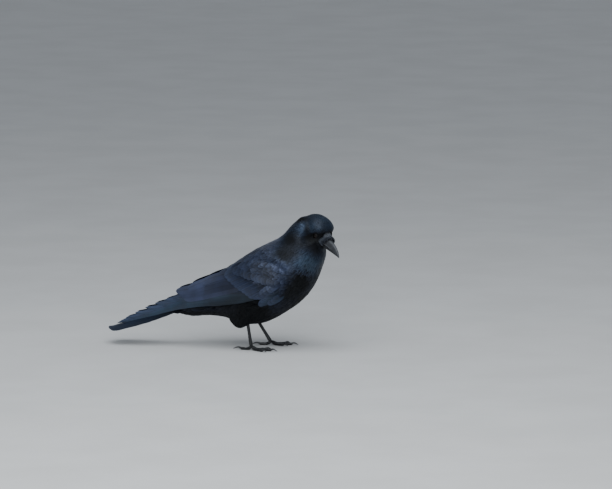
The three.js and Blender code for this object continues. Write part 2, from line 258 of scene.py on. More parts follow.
def merged_node(name: str, swell: float = 0.0) -> bmesh.types.BMesh:
    """Copy a solid with its loose triangles joined, grown along its normals by swell metres."""
    part = bmesh.new()
    part.from_mesh(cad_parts[name].data)
    bmesh.ops.remove_doubles(part, verts=part.verts, dist=0.01 * MM)
    part.normal_update()
    for vertex in part.verts:
        vertex.co += vertex.normal * swell
    return part


def node_tree(*names: str) -> BVHTree:
    """Make a search tree over some solids, in millimetres."""
    points: list = []
    faces: list = []
    for name in names:
        part = merged_node(name)
        start = len(points)
        points += [vertex.co / MM for vertex in part.verts]
        faces += [tuple(v.index + start for v in face.verts) for face in part.faces]
        part.free()
    return BVHTree.FromPolygons(points, faces)


# ---------- Finishes ----------


class Nodes:
    """A short way to build a node tree."""

    whole_names = ("ShaderNode", "NodeGroup", "Geometry", "Function")
    noise_roughness = 0.55

    def __init__(self, tree: Tree) -> None:
        """Keep the tree that is built."""
        self.tree = tree

    def add(self, kind: str, inputs: dict | None = None, **settings: object) -> bpy.types.Node:
        """Add a node, set its properties, and link or set its inputs.

        Args:
            kind: The node's type, without the leading ShaderNode where it has one.
            inputs: Sockets by name or number, each a value or an output socket.
            **settings: The node's own properties.

        Returns:
            The node.
        """
        node = self.tree.nodes.new(kind if kind.startswith(self.whole_names) else "ShaderNode" + kind)
        for key, value in settings.items():
            setattr(node, key, value)
        for key, value in (inputs or {}).items():
            self.feed(node.inputs[key], value)
        return node

    def feed(self, socket: Socket, value: object) -> None:
        """Link an output to a socket, or set the socket's value."""
        if isinstance(value, Socket):
            self.tree.links.new(value, socket)
        elif isinstance(value, tuple) and len(value) == 3 and socket.type == "RGBA":
            socket.default_value = (*value, 1.0)
        else:
            socket.default_value = value

    def math(
        self, operation: str, a: object, b: object = 0.0, c: object = 0.0, clamp: bool = False
    ) -> Socket:
        """Combine two or three values."""
        return self.add("Math", {0: a, 1: b, 2: c}, operation=operation, use_clamp=clamp).outputs[0]

    def times(self, a: object, b: object, clamp: bool = False) -> Socket:
        """Multiply two values."""
        return self.math("MULTIPLY", a, b, clamp=clamp)

    def plus(self, a: object, b: object, clamp: bool = False) -> Socket:
        """Add two values."""
        return self.math("ADD", a, b, clamp=clamp)

    def mix(self, share: object, a: object, b: object) -> Socket:
        """Mix two colours."""
        node = self.add("Mix", {"Factor": share}, data_type="RGBA")
        self.feed(node.inputs[6], a)
        self.feed(node.inputs[7], b)
        return node.outputs[2]

    def noise(self, scale: object, detail: float = 3.0, place: object = None) -> Socket:
        """Read a noise over the piece's own place."""
        place = place or self.add("TexCoord").outputs["Object"]
        inputs = {"Vector": place, "Scale": scale, "Detail": detail, "Roughness": self.noise_roughness}
        return self.add("TexNoise", inputs).outputs[0]

    def ramp(
        self, value: object, low: float, high: float, start: float = 0.0, end: float = 1.0
    ) -> Socket:
        """Map a value smoothly from low..high to start..end."""
        inputs = {"Value": value, "From Min": low, "From Max": high, "To Min": start, "To Max": end}
        return self.add("MapRange", inputs, interpolation_type="SMOOTHSTEP").outputs[0]


def shader_group(name: str, inputs: dict, outputs: dict[str, str]) -> tuple[Nodes, dict, dict]:
    """Start a shader node group.

    Args:
        name: The group's name.
        inputs: Its inputs, each with its first value: a number or a colour.
        outputs: Its outputs, each "Float" or "Color".

    Returns:
        The tree's builder, the input sockets by name, and the output sockets by name.
    """
    tree = bpy.data.node_groups.new(name, "ShaderNodeTree")
    for key, value in inputs.items():
        kind = "NodeSocketColor" if isinstance(value, tuple) else "NodeSocketFloat"
        socket = tree.interface.new_socket(key, in_out="INPUT", socket_type=kind)
        socket.default_value = (*value, 1.0) if isinstance(value, tuple) else value
    for key, kind in outputs.items():
        tree.interface.new_socket(key, in_out="OUTPUT", socket_type="NodeSocket" + kind)
    build = Nodes(tree)
    given = build.add("NodeGroupInput").outputs
    taken = build.add("NodeGroupOutput").inputs
    return build, {key: given[key] for key in inputs}, {key: taken[key] for key in outputs}


def plumage_group() -> Tree:
    """Build the shared look of black feathers: dull bases, a blue sheen that is partly real coat and metal
    and partly painted into the colour, painted highlights on their edges, and barbs.
    """
    inputs = {
        "Base": (0.012, 0.013, 0.016), "Gloss": (0.03, 0.036, 0.055), "Margin": (0.07, 0.08, 0.1),
        "Margin share": 0.5, "Gloss share": 0.6, "Barbs": 40.0, "Slant": 0.3, "Roughness": 0.45,
        "Dullness": 0.16, "Tint": (0.03, 0.05, 0.05), "Coat": 0.75, "Metal": 0.5,
    }
    outputs = dict.fromkeys(("Color", "Roughness", "Height", "Coat Weight", "Metallic"), "Float")
    build, given, taken = shader_group("plumage", inputs, outputs | {"Color": "Color"})
    vane = build.add("SeparateXYZ", {0: build.add("UVMap", uv_map="Vane").outputs[0]})
    across = build.math("ABSOLUTE", build.math("MULTIPLY_ADD", vane.outputs[0], 2.0, -1.0))
    along = vane.outputs[1]
    tone = build.add("Attribute", attribute_name="tone").outputs["Fac"]
    gloss, teal = (build.add("Attribute", attribute_name=key).outputs["Fac"] for key in ("gloss", "teal"))
    # Painted sheen: where a feather is glossy its colour turns, in patches and most towards the tip, to the
    # blue sheen colour or the teal tint. This paints the sky's reflection and the lit and shaded patches into
    # the colour, over the real glossiness that the coat and metal give.
    patches = build.ramp(build.noise(34.0, 2.0), 0.35, 0.7)
    shine = build.times(gloss, given["Gloss share"])
    shine = build.times(shine, build.math("MULTIPLY_ADD", patches, 0.5, 0.6))
    shine = build.times(shine, build.ramp(along, 0.2, 0.8, 0.4, 1.0), clamp=True)
    colour = build.mix(shine, given["Base"], build.mix(teal, given["Gloss"], given["Tint"]))
    # Painted highlight on the edges: a glossy feather's tip and outer sides turn paler, as if they caught the
    # light.
    tip = build.ramp(along, 0.72, 0.97)
    side = build.times(build.ramp(across, 0.62, 1.0), build.ramp(along, 0.25, 0.6))
    margin = build.math("MAXIMUM", tip, side)
    margin = build.times(margin, build.times(gloss, given["Margin share"]), clamp=True)
    colour = build.mix(margin, colour, given["Margin"])
    rachis = build.ramp(across, 0.0, 0.09, 0.7, 0.0)
    colour = build.mix(rachis, colour, given["Base"])
    lift = build.add("HueSaturation", {"Color": colour, "Value": build.math("MULTIPLY_ADD", tone, 0.22, 1.0)})
    build.feed(taken["Color"], lift.outputs[0])
    slant = build.times(across, given["Slant"])
    phase = build.times(build.math("SUBTRACT", along, slant), given["Barbs"])
    phase = build.plus(phase, build.times(build.noise(260.0, 2.0), 1.6))
    barbs = build.math("SINE", build.times(phase, math.tau))
    build.feed(taken["Height"], build.plus(build.times(barbs, 0.5), build.noise(900.0, 2.0)))
    rough = build.plus(given["Roughness"], build.times(build.noise(60.0, 3.0), 0.14))
    dull = build.ramp(gloss, 0.0, 1.0, 1.0, 0.0)
    rough = build.plus(rough, build.times(dull, given["Dullness"]))
    build.feed(taken["Roughness"], build.plus(rough, build.times(tone, 0.03)))
    bright = build.math("MULTIPLY_ADD", gloss, 0.75, 0.2)
    bright = build.times(bright, build.ramp(along, 0.3, 0.85, 0.55, 1.25))
    bright = build.times(bright, build.math("MULTIPLY_ADD", tone, 0.22, 1.0))
    build.feed(taken["Coat Weight"], build.times(bright, given["Coat"], clamp=True))
    build.feed(taken["Metallic"], build.times(gloss, given["Metal"], clamp=True))
    return build.tree


def grain_group() -> Tree:
    """Build the shared look of horn and bare skin: a tone that varies, and a grain to bump."""
    inputs = {
        "Base": (0.02, 0.02, 0.02), "Pale": (0.1, 0.1, 0.1), "Pale share": 0.5, "Scale": 300.0,
        "Stretch": 1.0, "Cells": 0.0, "Roughness": 0.4,
    }
    outputs = {"Color": "Color", "Roughness": "Float", "Height": "Float"}
    build, given, taken = shader_group("grain", inputs, outputs)
    place = build.add("TexCoord").outputs["Object"]
    # The pale value paints the bill's highlights; on claws, scales, lids and bare skin it is their own paler
    # tone.
    pale = build.add("Attribute", attribute_name="pale").outputs["Fac"]
    mottle = build.noise(given["Scale"], 4.0, place)
    share = build.times(pale, given["Pale share"])
    swing = build.math("SUBTRACT", mottle, 0.5)
    share = build.plus(share, build.times(swing, 0.35), clamp=True)
    build.feed(taken["Color"], build.mix(share, given["Base"], given["Pale"]))
    cells = build.add("TexVoronoi", {"Vector": place, "Scale": given["Scale"]}, feature="DISTANCE_TO_EDGE")
    pebble = build.times(build.ramp(cells.outputs["Distance"], 0.0, 0.25), given["Cells"])
    fine = build.noise(build.times(given["Scale"], given["Stretch"]), 3.0, place)
    build.feed(taken["Height"], build.plus(pebble, fine))
    build.feed(taken["Roughness"], build.plus(given["Roughness"], build.times(swing, 0.3)))
    return build.tree


@dataclass(frozen=True)
class Plumage:
    """The finish of one tract of feathers."""

    name: str
    base: Colour = (0.0034, 0.0037, 0.0043)
    # The sheen colour and the tint are painted reflection: a blue sheen painted into the colour over the
    # feathers' real blue glossiness, and its teal hue. The edge colour paints the highlight that glossy
    # feather edges catch.
    gloss: Colour = (0.017, 0.028, 0.07)
    margin: Colour = (0.042, 0.06, 0.12)
    tint: Colour = (0.009, 0.042, 0.066)
    margin_share: float = 0.4
    gloss_share: float = 0.8
    barbs: float = 70.0
    slant: float = 0.3
    roughness: float = 0.42
    specular: float = 0.05
    coat: float = 0.6
    coat_roughness: float = 0.5
    metal: float = 0.6
    sheen: float = 0.02
    sheen_roughness: float = 0.5
    sheen_tint: Colour = (0.5, 0.58, 0.8)
    bump: float = 0.12

    def material(self, group: Tree) -> Material:
        """Make the material round the shared plumage group."""
        return grouped(self, group, {
            "Specular IOR Level": self.specular, "Coat Roughness": self.coat_roughness,
            "Sheen Weight": self.sheen, "Sheen Roughness": self.sheen_roughness,
            "Sheen Tint": self.sheen_tint,
        })


@dataclass(frozen=True)
class Horn:
    """The finish of bill, claws, scutes, bare skin and lids."""

    name: str
    base: Colour = (0.02, 0.02, 0.022)
    pale: Colour = (0.12, 0.125, 0.13)
    pale_share: float = 0.5
    scale: float = 260.0
    stretch: float = 3.0
    cells: float = 0.0
    roughness: float = 0.38
    specular: float = 0.5
    coat: float = 0.0
    coat_roughness: float = 0.2
    bump: float = 0.12

    def material(self, group: Tree) -> Material:
        """Make the material round the shared grain group."""
        return grouped(self, group, {
            "Specular IOR Level": self.specular, "Coat Weight": self.coat,
            "Coat Roughness": self.coat_roughness,
        })


def blank(name: str) -> tuple[Material, Nodes, bpy.types.Node]:
    """Make a material, and give it with its tree's builder and its Principled node."""
    material = bpy.data.materials.new(name)
    material.use_nodes = True
    return material, Nodes(material.node_tree), material.node_tree.nodes["Principled BSDF"]


def grouped(finish: Plumage | Horn, group: Tree, own: dict) -> Material:
    """Make a material whose look comes from a group, fed by the finish's fields of the same names.

    Args:
        finish: The finish.
        group: A group with the outputs Color and Height, and others named as the sockets they feed.
        own: The Principled node's own values, by socket.

    Returns:
        The material.
    """
    material, build, shader = blank(finish.name)
    look = build.add("Group", node_tree=group)
    for socket in look.inputs:
        value = getattr(finish, socket.name.lower().replace(" ", "_"), None)
        if value is not None:
            build.feed(socket, value)
    height = {"Strength": finish.bump, "Distance": BUMP_DEPTH, "Height": look.outputs["Height"]}
    relief = build.add("Bump", height)
    build.feed(shader.inputs["Base Color"], look.outputs["Color"])
    build.feed(shader.inputs["Normal"], relief.outputs[0])
    for key in ("Roughness", "Coat Weight", "Metallic"):
        if key in look.outputs:
            build.feed(shader.inputs[key], look.outputs[key])
    for key, value in own.items():
        build.feed(shader.inputs[key], value)
    return material


@dataclass(frozen=True)
class WetEye:
    """The finish of the eyes: a black pupil in a dark brown iris under a wet cornea."""

    name: str = "eye_wet"
    pupil: Colour = (0.001, 0.001, 0.001)
    iris: Colour = (0.011, 0.006, 0.0035)
    rim: Colour = (0.004, 0.003, 0.003)
    pupil_edge: float = 0.42
    pupil_blur: float = 0.03
    iris_edge: float = 0.64
    iris_blur: float = 0.05
    wet: float = 0.06
    dry: float = 0.3
    specular: float = 0.12
    coat: float = 0.16
    coat_roughness: float = 0.03

    def material(self) -> Material:
        """Make the material, which reads how far each point is from the eye's axis."""
        material, build, shader = blank(self.name)
        ring = build.add("Attribute", attribute_name="ring").outputs["Fac"]
        streaks = build.noise(900.0, 3.0)
        iris = build.mix(build.ramp(streaks, 0.3, 0.7, 0.0, 0.6), self.iris, self.rim)
        edge = build.ramp(ring, self.pupil_edge - self.pupil_blur, self.pupil_edge + self.pupil_blur)
        colour = build.mix(edge, self.pupil, iris)
        edge = build.ramp(ring, self.iris_edge - self.iris_blur, self.iris_edge)
        colour = build.mix(edge, colour, self.rim)
        build.feed(shader.inputs["Base Color"], colour)
        build.feed(shader.inputs["Roughness"], build.ramp(ring, 0.6, 0.9, self.wet, self.dry))
        build.feed(shader.inputs["Specular IOR Level"], self.specular)
        build.feed(shader.inputs["Coat Weight"], self.coat)
        build.feed(shader.inputs["Coat Roughness"], self.coat_roughness)
        return material


# ---------- Head frame ----------


@dataclass(frozen=True)
class HeadFrame:
    """The head's own frame: x towards the bill, y to the head's left, z up."""

    yaw: float = -45.0
    pitch: float = 18.0
    eye_middle: Point = (13.5, 0.0, 2.4)

    @cached_property
    def turn(self) -> Array:
        """The rotation from the head's frame to the row frame."""
        yaw = Matrix.Rotation(math.radians(self.yaw), 3, "Z")
        return np.array(yaw @ Matrix.Rotation(math.radians(self.pitch), 3, "Y"))

    @cached_property
    def origin(self) -> Array:
        """The head's origin in the row frame, worked out from the two eye solids."""
        corners = [np.array(corner) / MM for name in ("eye_right", "eye_left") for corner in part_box(name)]
        return np.mean(corners, axis=0) - self.turn @ np.array(self.eye_middle)

    def row(self, places: Array) -> Array:
        """Take places from the head's frame to the row frame."""
        return np.asarray(places, float) @ self.turn.T + self.origin

    def local(self, places: Array) -> Array:
        """Take places from the row frame to the head's frame."""
        return (np.asarray(places, float) - self.origin) @ self.turn


HEAD = HeadFrame()


# ---------- Skin ----------


class Surface:
    """A triangulated surface that can be searched for the nearest place and its smooth normal."""

    def __init__(self, points: Array, faces: Array, edges: Array) -> None:
        """Keep the surface and work out its normals, smoothed a little over their neighbours."""
        self.points = points
        self.faces = faces
        self.edges = edges
        self.tree = BVHTree.FromPolygons(points.tolist(), faces.tolist())
        a, b, c = (points[faces[:, i]] for i in range(3))
        flat = np.cross(b - a, c - a)
        self.areas = np.linalg.norm(flat, axis=1) / 2
        total = np.zeros_like(points)
        for i in range(3):
            np.add.at(total, faces[:, i], flat)
        self.normals = unit(relax(unit(total), edges, 3))

    def nearest(self, places: Array) -> tuple[Array, Array]:
        """Find the nearest place on the surface to each of some places.

        Args:
            places: Points in millimetres.

        Returns:
            The places on the surface and the normals there.
        """
        found = np.empty_like(places)
        which = np.empty(len(places), int)
        for i, place in enumerate(places.tolist()):
            spot, _, index, _ = self.tree.find_nearest(place)
            found[i] = spot
            which[i] = index
        corners = self.points[self.faces[which]]
        weights = barycentric(found, corners)
        normals = (self.normals[self.faces[which]] * weights[:, :, None]).sum(1)
        return found, unit(normals)


def barycentric(places: Array, corners: Array) -> Array:
    """Work out the weights of three corners at places inside their triangles."""
    a, b, c = corners[:, 0], corners[:, 1], corners[:, 2]
    v0, v1, v2 = b - a, c - a, places - a
    d00, d01, d11 = (v0 * v0).sum(1), (v0 * v1).sum(1), (v1 * v1).sum(1)
    d20, d21 = (v2 * v0).sum(1), (v2 * v1).sum(1)
    scale = np.maximum(d00 * d11 - d01 * d01, 1e-12)
    second = (d11 * d20 - d01 * d21) / scale
    third = (d00 * d21 - d01 * d20) / scale
    return np.clip(np.stack([1 - second - third, second, third], 1), 0.0, 1.0)


@dataclass
class Skin:
    """The one skin over head, neck, trunk, thighs and wings, inside the coat by its depth.

    The bill and the eyes are its cores: they are fused with the flesh, so that it has no hole at them.
    """

    flesh: tuple[str, ...] = ("head", "neck", "trunk", "wing_right", "wing_left", "thigh_right", "thigh_left")
    cores: tuple[str, ...] = ("bill_upper", "bill_lower", "eye_right", "eye_left")
    swell: float = 0.5
    voxel: float = 2.0
    smoothing: int = 5
    deepest_share: float = 0.44
    socket_rim: float = 5.5
    socket_height: float = 6.3
    socket_slope: float = 1.35
    socket_reach: tuple[float, float] = (12.0, 20.0)
    inset: float = 0.2  # how far under the surface the search for its other side starts
    thickest: float = 80.0

    def outline(self, *more: str) -> Surface:
        """Fuse the solids into the coat's outer surface.

        Args:
            *more: Solids to take in beside the flesh.

        Returns:
            The smoothed surface, in millimetres.
        """
        whole = bmesh.new()
        for name in self.flesh + self.cores + more:
            part = merged_node(name, self.swell * MM)
            copy = bpy.data.meshes.new("part")
            part.to_mesh(copy)
            part.free()
            whole.from_mesh(copy)
            bpy.data.meshes.remove(copy)
        mesh = bpy.data.meshes.new("form")
        whole.to_mesh(mesh)
        whole.free()
        first = self.fused(mesh)
        mesh = bpy.data.meshes.new("form")
        mesh.from_pydata((self.hollowed(first) * MM).tolist(), [], first.faces.tolist())
        return self.fused(mesh)

    def hollowed(self, outline: Surface) -> Array:
        """Press in whatever stands in front of an eye, so that it looks out of a shallow hollow."""
        points = outline.points.copy()
        for side in (RIGHT, LEFT):
            ahead, gap = Eye(side).before(points)
            room = self.socket_height + self.socket_slope * np.maximum(gap - self.socket_rim, 0.0)
            over = np.maximum(ahead - room, 0.0) * (1 - ease(gap, *self.socket_reach))
            points -= Eye(side).axes()[1] * over[:, None]
        return points

    def fused(self, mesh: Mesh) -> Surface:
        """Remesh a mesh as one even closed surface, smoothed; the mesh itself is removed."""
        form = linked("form", mesh)
        fuse = form.modifiers.new("fuse", "REMESH")
        fuse.mode = "VOXEL"
        fuse.voxel_size = self.voxel * MM
        fuse.adaptivity = 0.0
        fused = bpy.data.meshes.new_from_object(form.evaluated_get(bpy.context.evaluated_depsgraph_get()))
        work = bmesh.new()
        work.from_mesh(fused)
        bmesh.ops.triangulate(work, faces=work.faces)
        points = np.array([vertex.co for vertex in work.verts]) / MM
        faces = np.array([[vertex.index for vertex in face.verts] for face in work.faces])
        edges = np.array([[vertex.index for vertex in edge.verts] for edge in work.edges])
        work.free()
        bpy.data.objects.remove(form)
        bpy.data.meshes.remove(mesh)
        bpy.data.meshes.remove(fused)
        return Surface(relax(points, edges, self.smoothing), faces, edges)

    def lowered(self, outline: Surface, depth: Array) -> Surface:
        """Move the outer surface in by the coat's depth, less where the form is thin.

        Args:
            outline: The coat's outer surface.
            depth: The coat's depth at each of its points.

        Returns:
            The skin's surface.
        """
        limit = np.full(len(depth), np.inf)
        for i, (place, normal) in enumerate(zip(outline.points, outline.normals)):
            start = place - self.inset * normal
            hit = outline.tree.ray_cast(start.tolist(), (-normal).tolist(), self.thickest)
            if hit[0] is not None:
                limit[i] = self.deepest_share * hit[3]
        depth = relax(np.minimum(depth, limit), outline.edges, 6)
        points = relax(outline.points - outline.normals * depth[:, None], outline.edges, 2)
        return Surface(points, outline.faces, outline.edges)


# ---------- Feather tracts ----------


class Tract(Enum):
    """A part of the coat with its own piece; tracts of small feathers share the head's finish and the rest
    the body's.
    """

    CROWN = "crown"
    FACE = "face"
    NAPE = "nape"
    THROAT = "throat"
    MANTLE = "mantle"
    SCAPULAR = "scapulars"
    SHOULDER = "shoulder_coverts"
    BREAST = "breast"
    BELLY = "belly"
    THIGH = "thighs"
    RUMP = "rump"
    UNDERTAIL = "undertail"


@dataclass(frozen=True)
class Anchor:
    """How feathers grow at one place; between the anchors everything blends."""

    place: Point
    lie: Point
    spacing: float
    length: float
    width: float
    depth: float
    point: float = 0.15
    loose: float = 0.15
    # How glossy the feathers are: this sets their coat and metal and how much painted sheen lifts their
    # colour. Anchor by anchor it also paints light and shade: high where the bird is lit, zero or below where
    # it lies in shade.
    gloss: float = 1.0
    lift: float = 0.0
    sink: float = 0.0
    teal: float = 0.0

    def sides(self, on_head: bool) -> list[Anchor]:
        """This anchor in the row frame, and its mirror image where it lies off the middle."""
        twins = [self]
        if abs(self.place[1]) > 1e-6:
            x, y, z = self.place
            dx, dy, dz = self.lie
            twins.append(replace(self, place=(x, -y, z), lie=(dx, -dy, dz)))
        if on_head:
            twins = [
                replace(twin, place=tuple(HEAD.row(twin.place)), lie=tuple(HEAD.turn @ np.array(twin.lie)))
                for twin in twins
            ]
        return twins


# On the head the glossiness numbers paint light and shade: high on the lit brow, forehead and sides of the
# crown and behind the eye, zero or below in the painted shade under the brow, round the eye and on parts of
# the hind crown.
HEAD_ANCHORS = {
    Tract.CROWN: (
        Anchor(
            (28, 0, 14), (-0.75, 0, 0.66), 0.95, 5.5, 1.3, 1.3,
            gloss=0.9, point=0.6, sink=-2.0, teal=0.5,
        ),
        Anchor((12, 0, 27), (-0.95, 0, 0.3), 1.0, 7.0, 1.5, 1.7, gloss=0.8, point=0.6, teal=0.5),
        Anchor((-4, 0, 32), (-1, 0, 0), 1.15, 8.0, 1.7, 2.0, gloss=0.5, point=0.6, teal=0.5),
        Anchor((-28, 0, 22), (-0.8, 0, -0.6), 1.5, 10.5, 2.2, 2.4, gloss=-0.1, point=0.6, teal=0.3),
        Anchor(
            (23, 12, 14), (-0.95, 0.1, 0.3), 0.95, 6.0, 1.4, 1.5,
            gloss=1.1, point=0.5, sink=-2.3, teal=0.5,
        ),
        Anchor(
            (15, 19, 13), (-0.97, 0.1, 0.05), 1.0, 6.0, 1.4, 1.6,
            gloss=1.0, point=0.5, sink=-2.2, teal=0.5,
        ),
        Anchor(
            (8, 25, 11), (-0.97, 0.1, -0.1), 1.1, 7.0, 1.6, 1.6,
            gloss=0.05, point=0.5, sink=-0.5, teal=0.4,
        ),
        Anchor((1, 33, 10), (-0.97, 0.1, -0.1), 1.2, 8.0, 1.7, 1.8, gloss=1.5, point=0.5, teal=0.4),
        Anchor((-13, 26, 20), (-0.95, 0, -0.3), 1.3, 8.5, 1.8, 2.0, gloss=-0.25, point=0.6, teal=0.3),
        Anchor((-14, 22, 10), (-0.95, 0, -0.2), 1.3, 8.5, 1.8, 2.0, gloss=0.9, point=0.6, teal=0.4),
    ),
    Tract.FACE: (
        # Below zero here: painted shade under the overhanging brow, on the lores and round the eye.
        Anchor((13.5, 18, 1), (-0.95, 0.1, -0.2), 0.85, 3.4, 1.1, 1.0, gloss=-0.25, point=0.5, sink=1.2),
        Anchor((20, 15, 7), (-0.95, 0.2, 0), 0.85, 3.4, 1.1, 0.9, gloss=-0.26, point=0.5, sink=2.2),
        Anchor((25, 9, 7), (-0.95, 0.25, 0.1), 0.85, 3.6, 1.2, 0.9, gloss=-0.26, point=0.6, sink=2.4),
        Anchor((29, 0, 8.5), (-0.9, 0, 0.4), 0.85, 3.6, 1.2, 0.9, gloss=-0.26, point=0.6, sink=2.2),
        Anchor((4, 20, -5), (-0.9, 0, -0.4), 1.05, 6.5, 1.4, 1.3, gloss=-0.1, point=0.7, sink=0.4),
        # High here: a painted lit patch on the ear coverts.
        Anchor((-10, 21, -3), (-0.9, 0, -0.3), 1.2, 8.0, 1.7, 1.6, gloss=0.95, point=0.7, teal=0.4),
        Anchor((22, 12, -14), (-0.9, 0, -0.4), 1.0, 6.0, 1.3, 1.2, point=0.8, gloss=0.0),
    ),
    Tract.THROAT: (
        Anchor((26, 0, -17), (-0.85, 0, -0.5), 1.3, 9.0, 1.7, 1.6, point=0.9, gloss=0.4, teal=0.5),
    ),
}

# On the body the glossiness numbers were matched to its light and shade: high values paint light on the
# throat, mantle and scapulars, and values at or below zero paint shade on the nape and under the breast,
# belly and tail, over underparts that are really duller.
BODY_ANCHORS = {
    Tract.NAPE: (
        Anchor(
            (120, 0, 224), (-0.75, 0, -0.66), 1.7, 12, 2.7, 2.6,
            loose=0.6, gloss=-0.1, point=0.6, teal=0.3,
        ),
        Anchor(
            (128, 34, 205), (-0.6, 0.1, -0.8), 1.7, 12, 2.7, 2.6,
            loose=0.6, gloss=0.0, point=0.6, teal=0.4,
        ),
        Anchor(
            (118, 44, 178), (-0.75, 0.1, -0.6), 2.1, 15, 3.6, 3.0,
            loose=0.6, gloss=0.1, point=0.5, teal=0.35,
        ),
    ),
    Tract.THROAT: (
        Anchor(
            (176, -8, 172), (-0.3, 0, -0.95), 2.0, 18, 2.4, 2.8,
            point=0.95, loose=0.5, gloss=1.3, lift=0.3, teal=0.6,
        ),
        Anchor(
            (158, 38, 166), (-0.5, 0.1, -0.85), 2.0, 17, 2.6, 2.8,
            point=0.9, loose=0.5, gloss=1.8, teal=0.6,
        ),
        Anchor(
            (166, 0, 140), (-0.5, 0, -0.86), 2.6, 20, 3.8, 3.0,
            point=0.75, loose=0.5, gloss=0.2, teal=0.6,
        ),
    ),
    Tract.MANTLE: (
        Anchor((95, 0, 196), (-0.9, 0, -0.43), 3.8, 20, 8, 3.2, gloss=1.2),
        Anchor((92, 28, 188), (-0.88, 0, -0.47), 3.4, 18, 7, 3.0, gloss=1.7),
        Anchor((62, 0, 178), (-0.88, 0, -0.47), 4.6, 24, 11, 3.4, gloss=0.2),
        Anchor((20, 0, 153), (-0.88, 0, -0.47), 5.4, 28, 14, 3.4, gloss=0.8, sink=1.0),
    ),
    Tract.RUMP: (
        Anchor((-6, 0, 138), (-0.9, 0, -0.43), 5.6, 28, 14, 2.6, loose=0.1, gloss=0.8, sink=3.5),
        Anchor((-45, 0, 116), (-0.93, 0, -0.37), 5.8, 28, 14, 2.2, loose=0.1, gloss=0.6, sink=4.5),
        Anchor((-88, 0, 86), (-0.95, 0, -0.3), 6.0, 36, 14, 2.2, loose=0.1, gloss=0.6, sink=2.0),
    ),
    Tract.BREAST: (
        Anchor((140, 0, 100), (-0.7, 0, -0.7), 3.6, 22, 7, 3.4, loose=0.8, gloss=-0.1, point=0.3),
        Anchor((148, 40, 137), (-0.6, 0.1, -0.75), 3.0, 19, 5.5, 3.2, loose=0.7, gloss=-0.12, point=0.4),
        Anchor((128, 42, 120), (-0.75, 0.1, -0.65), 3.6, 20, 7, 3.2, loose=0.8, gloss=0.0, point=0.3),
    ),
    Tract.BELLY: (
        Anchor((80, 0, 58), (-0.95, 0, -0.3), 4.4, 28, 9, 4.0, point=0.4, loose=1.0, gloss=-0.06),
        Anchor((40, 0, 44), (-0.99, 0, 0.05), 4.6, 28, 9, 4.0, point=0.4, loose=1.0, gloss=-0.06),
        Anchor((70, 46, 74), (-0.93, 0, -0.35), 4.4, 26, 9, 3.6, point=0.4, loose=1.0, gloss=-0.12),
        Anchor((-20, 0, 55), (-1, 0, 0.02), 4.8, 28, 9, 3.4, point=0.4, loose=1.0, gloss=-0.08),
    ),
    Tract.UNDERTAIL: (
        Anchor((-70, 0, 55), (-0.98, 0, -0.05), 5.4, 24, 10, 1.6, loose=0.3, gloss=-0.12),
    ),
    Tract.THIGH: (
        Anchor((28, 40, 52), (-0.25, 0, -0.96), 3.4, 18, 6.0, 2.4, point=0.5, loose=1.0, gloss=-0.05),
    ),
    Tract.SHOULDER: (
        Anchor((116, 50, 130), (-0.93, 0, -0.25), 3.4, 13, 6.6, 2.4, gloss=0.7),
        Anchor((92, 52, 140), (-0.96, 0, -0.2), 4.0, 14, 8.6, 2.6, gloss=0.45),
    ),
    Tract.SCAPULAR: (
        Anchor((112, 50, 160), (-0.85, 0.1, -0.5), 3.4, 16, 7, 3.0, gloss=1.3, point=0.3),
        Anchor((86, 38, 168), (-0.9, 0, -0.4), 4.6, 22, 11.5, 3.4, gloss=0.7),
        Anchor((52, 46, 150), (-0.93, 0, -0.33), 5.4, 24, 14, 3.6, gloss=0.65),
        Anchor((18, 27, 150), (-0.93, 0, -0.36), 6.2, 34, 17, 4.0, gloss=1.0),
    ),
}


class Chart:
    """Blends the anchors over the bird."""

    nearness = 5.0  # millimetres within which one anchor rules alone
    eye_rim = 5.0
    eye_reach = 15.0
    parting = 1.3
    fields = ("spacing", "length", "width", "depth", "point", "loose", "gloss", "lift", "sink", "teal")

    def __init__(self) -> None:
        """Mirror the anchors and put their numbers in rows; those of the head are in its own frame."""
        rows = [
            (tract, twin)
            for tracts, on_head in ((HEAD_ANCHORS, True), (BODY_ANCHORS, False))
            for tract, anchors in tracts.items()
            for anchor in anchors
            for twin in anchor.sides(on_head)
        ]
        self.places = np.array([anchor.place for _, anchor in rows], float)
        self.lies = np.array([anchor.lie for _, anchor in rows], float)
        self.numbers = np.array([[getattr(anchor, key) for key in self.fields] for _, anchor in rows])
        self.tracts = np.array([list(Tract).index(tract) for tract, _ in rows])
        self.eyes = [Eye(side).axes()[:2] for side in (RIGHT, LEFT)]

    def weights(self, places: Array) -> Array:
        """How much each anchor counts at each place."""
        gaps = np.linalg.norm(places[:, None, :] - self.places[None, :, :], axis=2)
        near = 1.0 / (gaps**2 + self.nearness**2) ** 2
        return near / near.sum(1, keepdims=True)

    def lie(self, places: Array) -> Array:
        """The way the feathers lie at each place; they part round an eye like water round a stone."""
        lie = unit(self.weights(places) @ self.lies)
        for centre, look in self.eyes:
            off = places - centre
            near = np.linalg.norm(off, axis=1, keepdims=True) < self.eye_reach
            off = off - (off @ look)[:, None] * look
            gap = np.maximum(np.linalg.norm(off, axis=1, keepdims=True), 1e-6)
            share = near * np.minimum(1.0, (self.eye_rim / gap) ** 2)
            out = off / gap
            towards = np.minimum((lie * out).sum(1, keepdims=True), 0.0)
            lie = lie - share * self.parting * towards * out
        return unit(lie)

    def read(self, places: Array) -> tuple[dict[str, Array], Array]:
        """Read the blended numbers at places.

        Args:
            places: Points in the row frame.

        Returns:
            The numbers by name, and the number of the tract each place is in.
        """
        weights = self.weights(places)
        values = weights @ self.numbers
        share = np.stack([weights[:, self.tracts == i].sum(1) for i in range(len(Tract))], 1)
        return dict(zip(self.fields, values.T)), share.argmax(1)


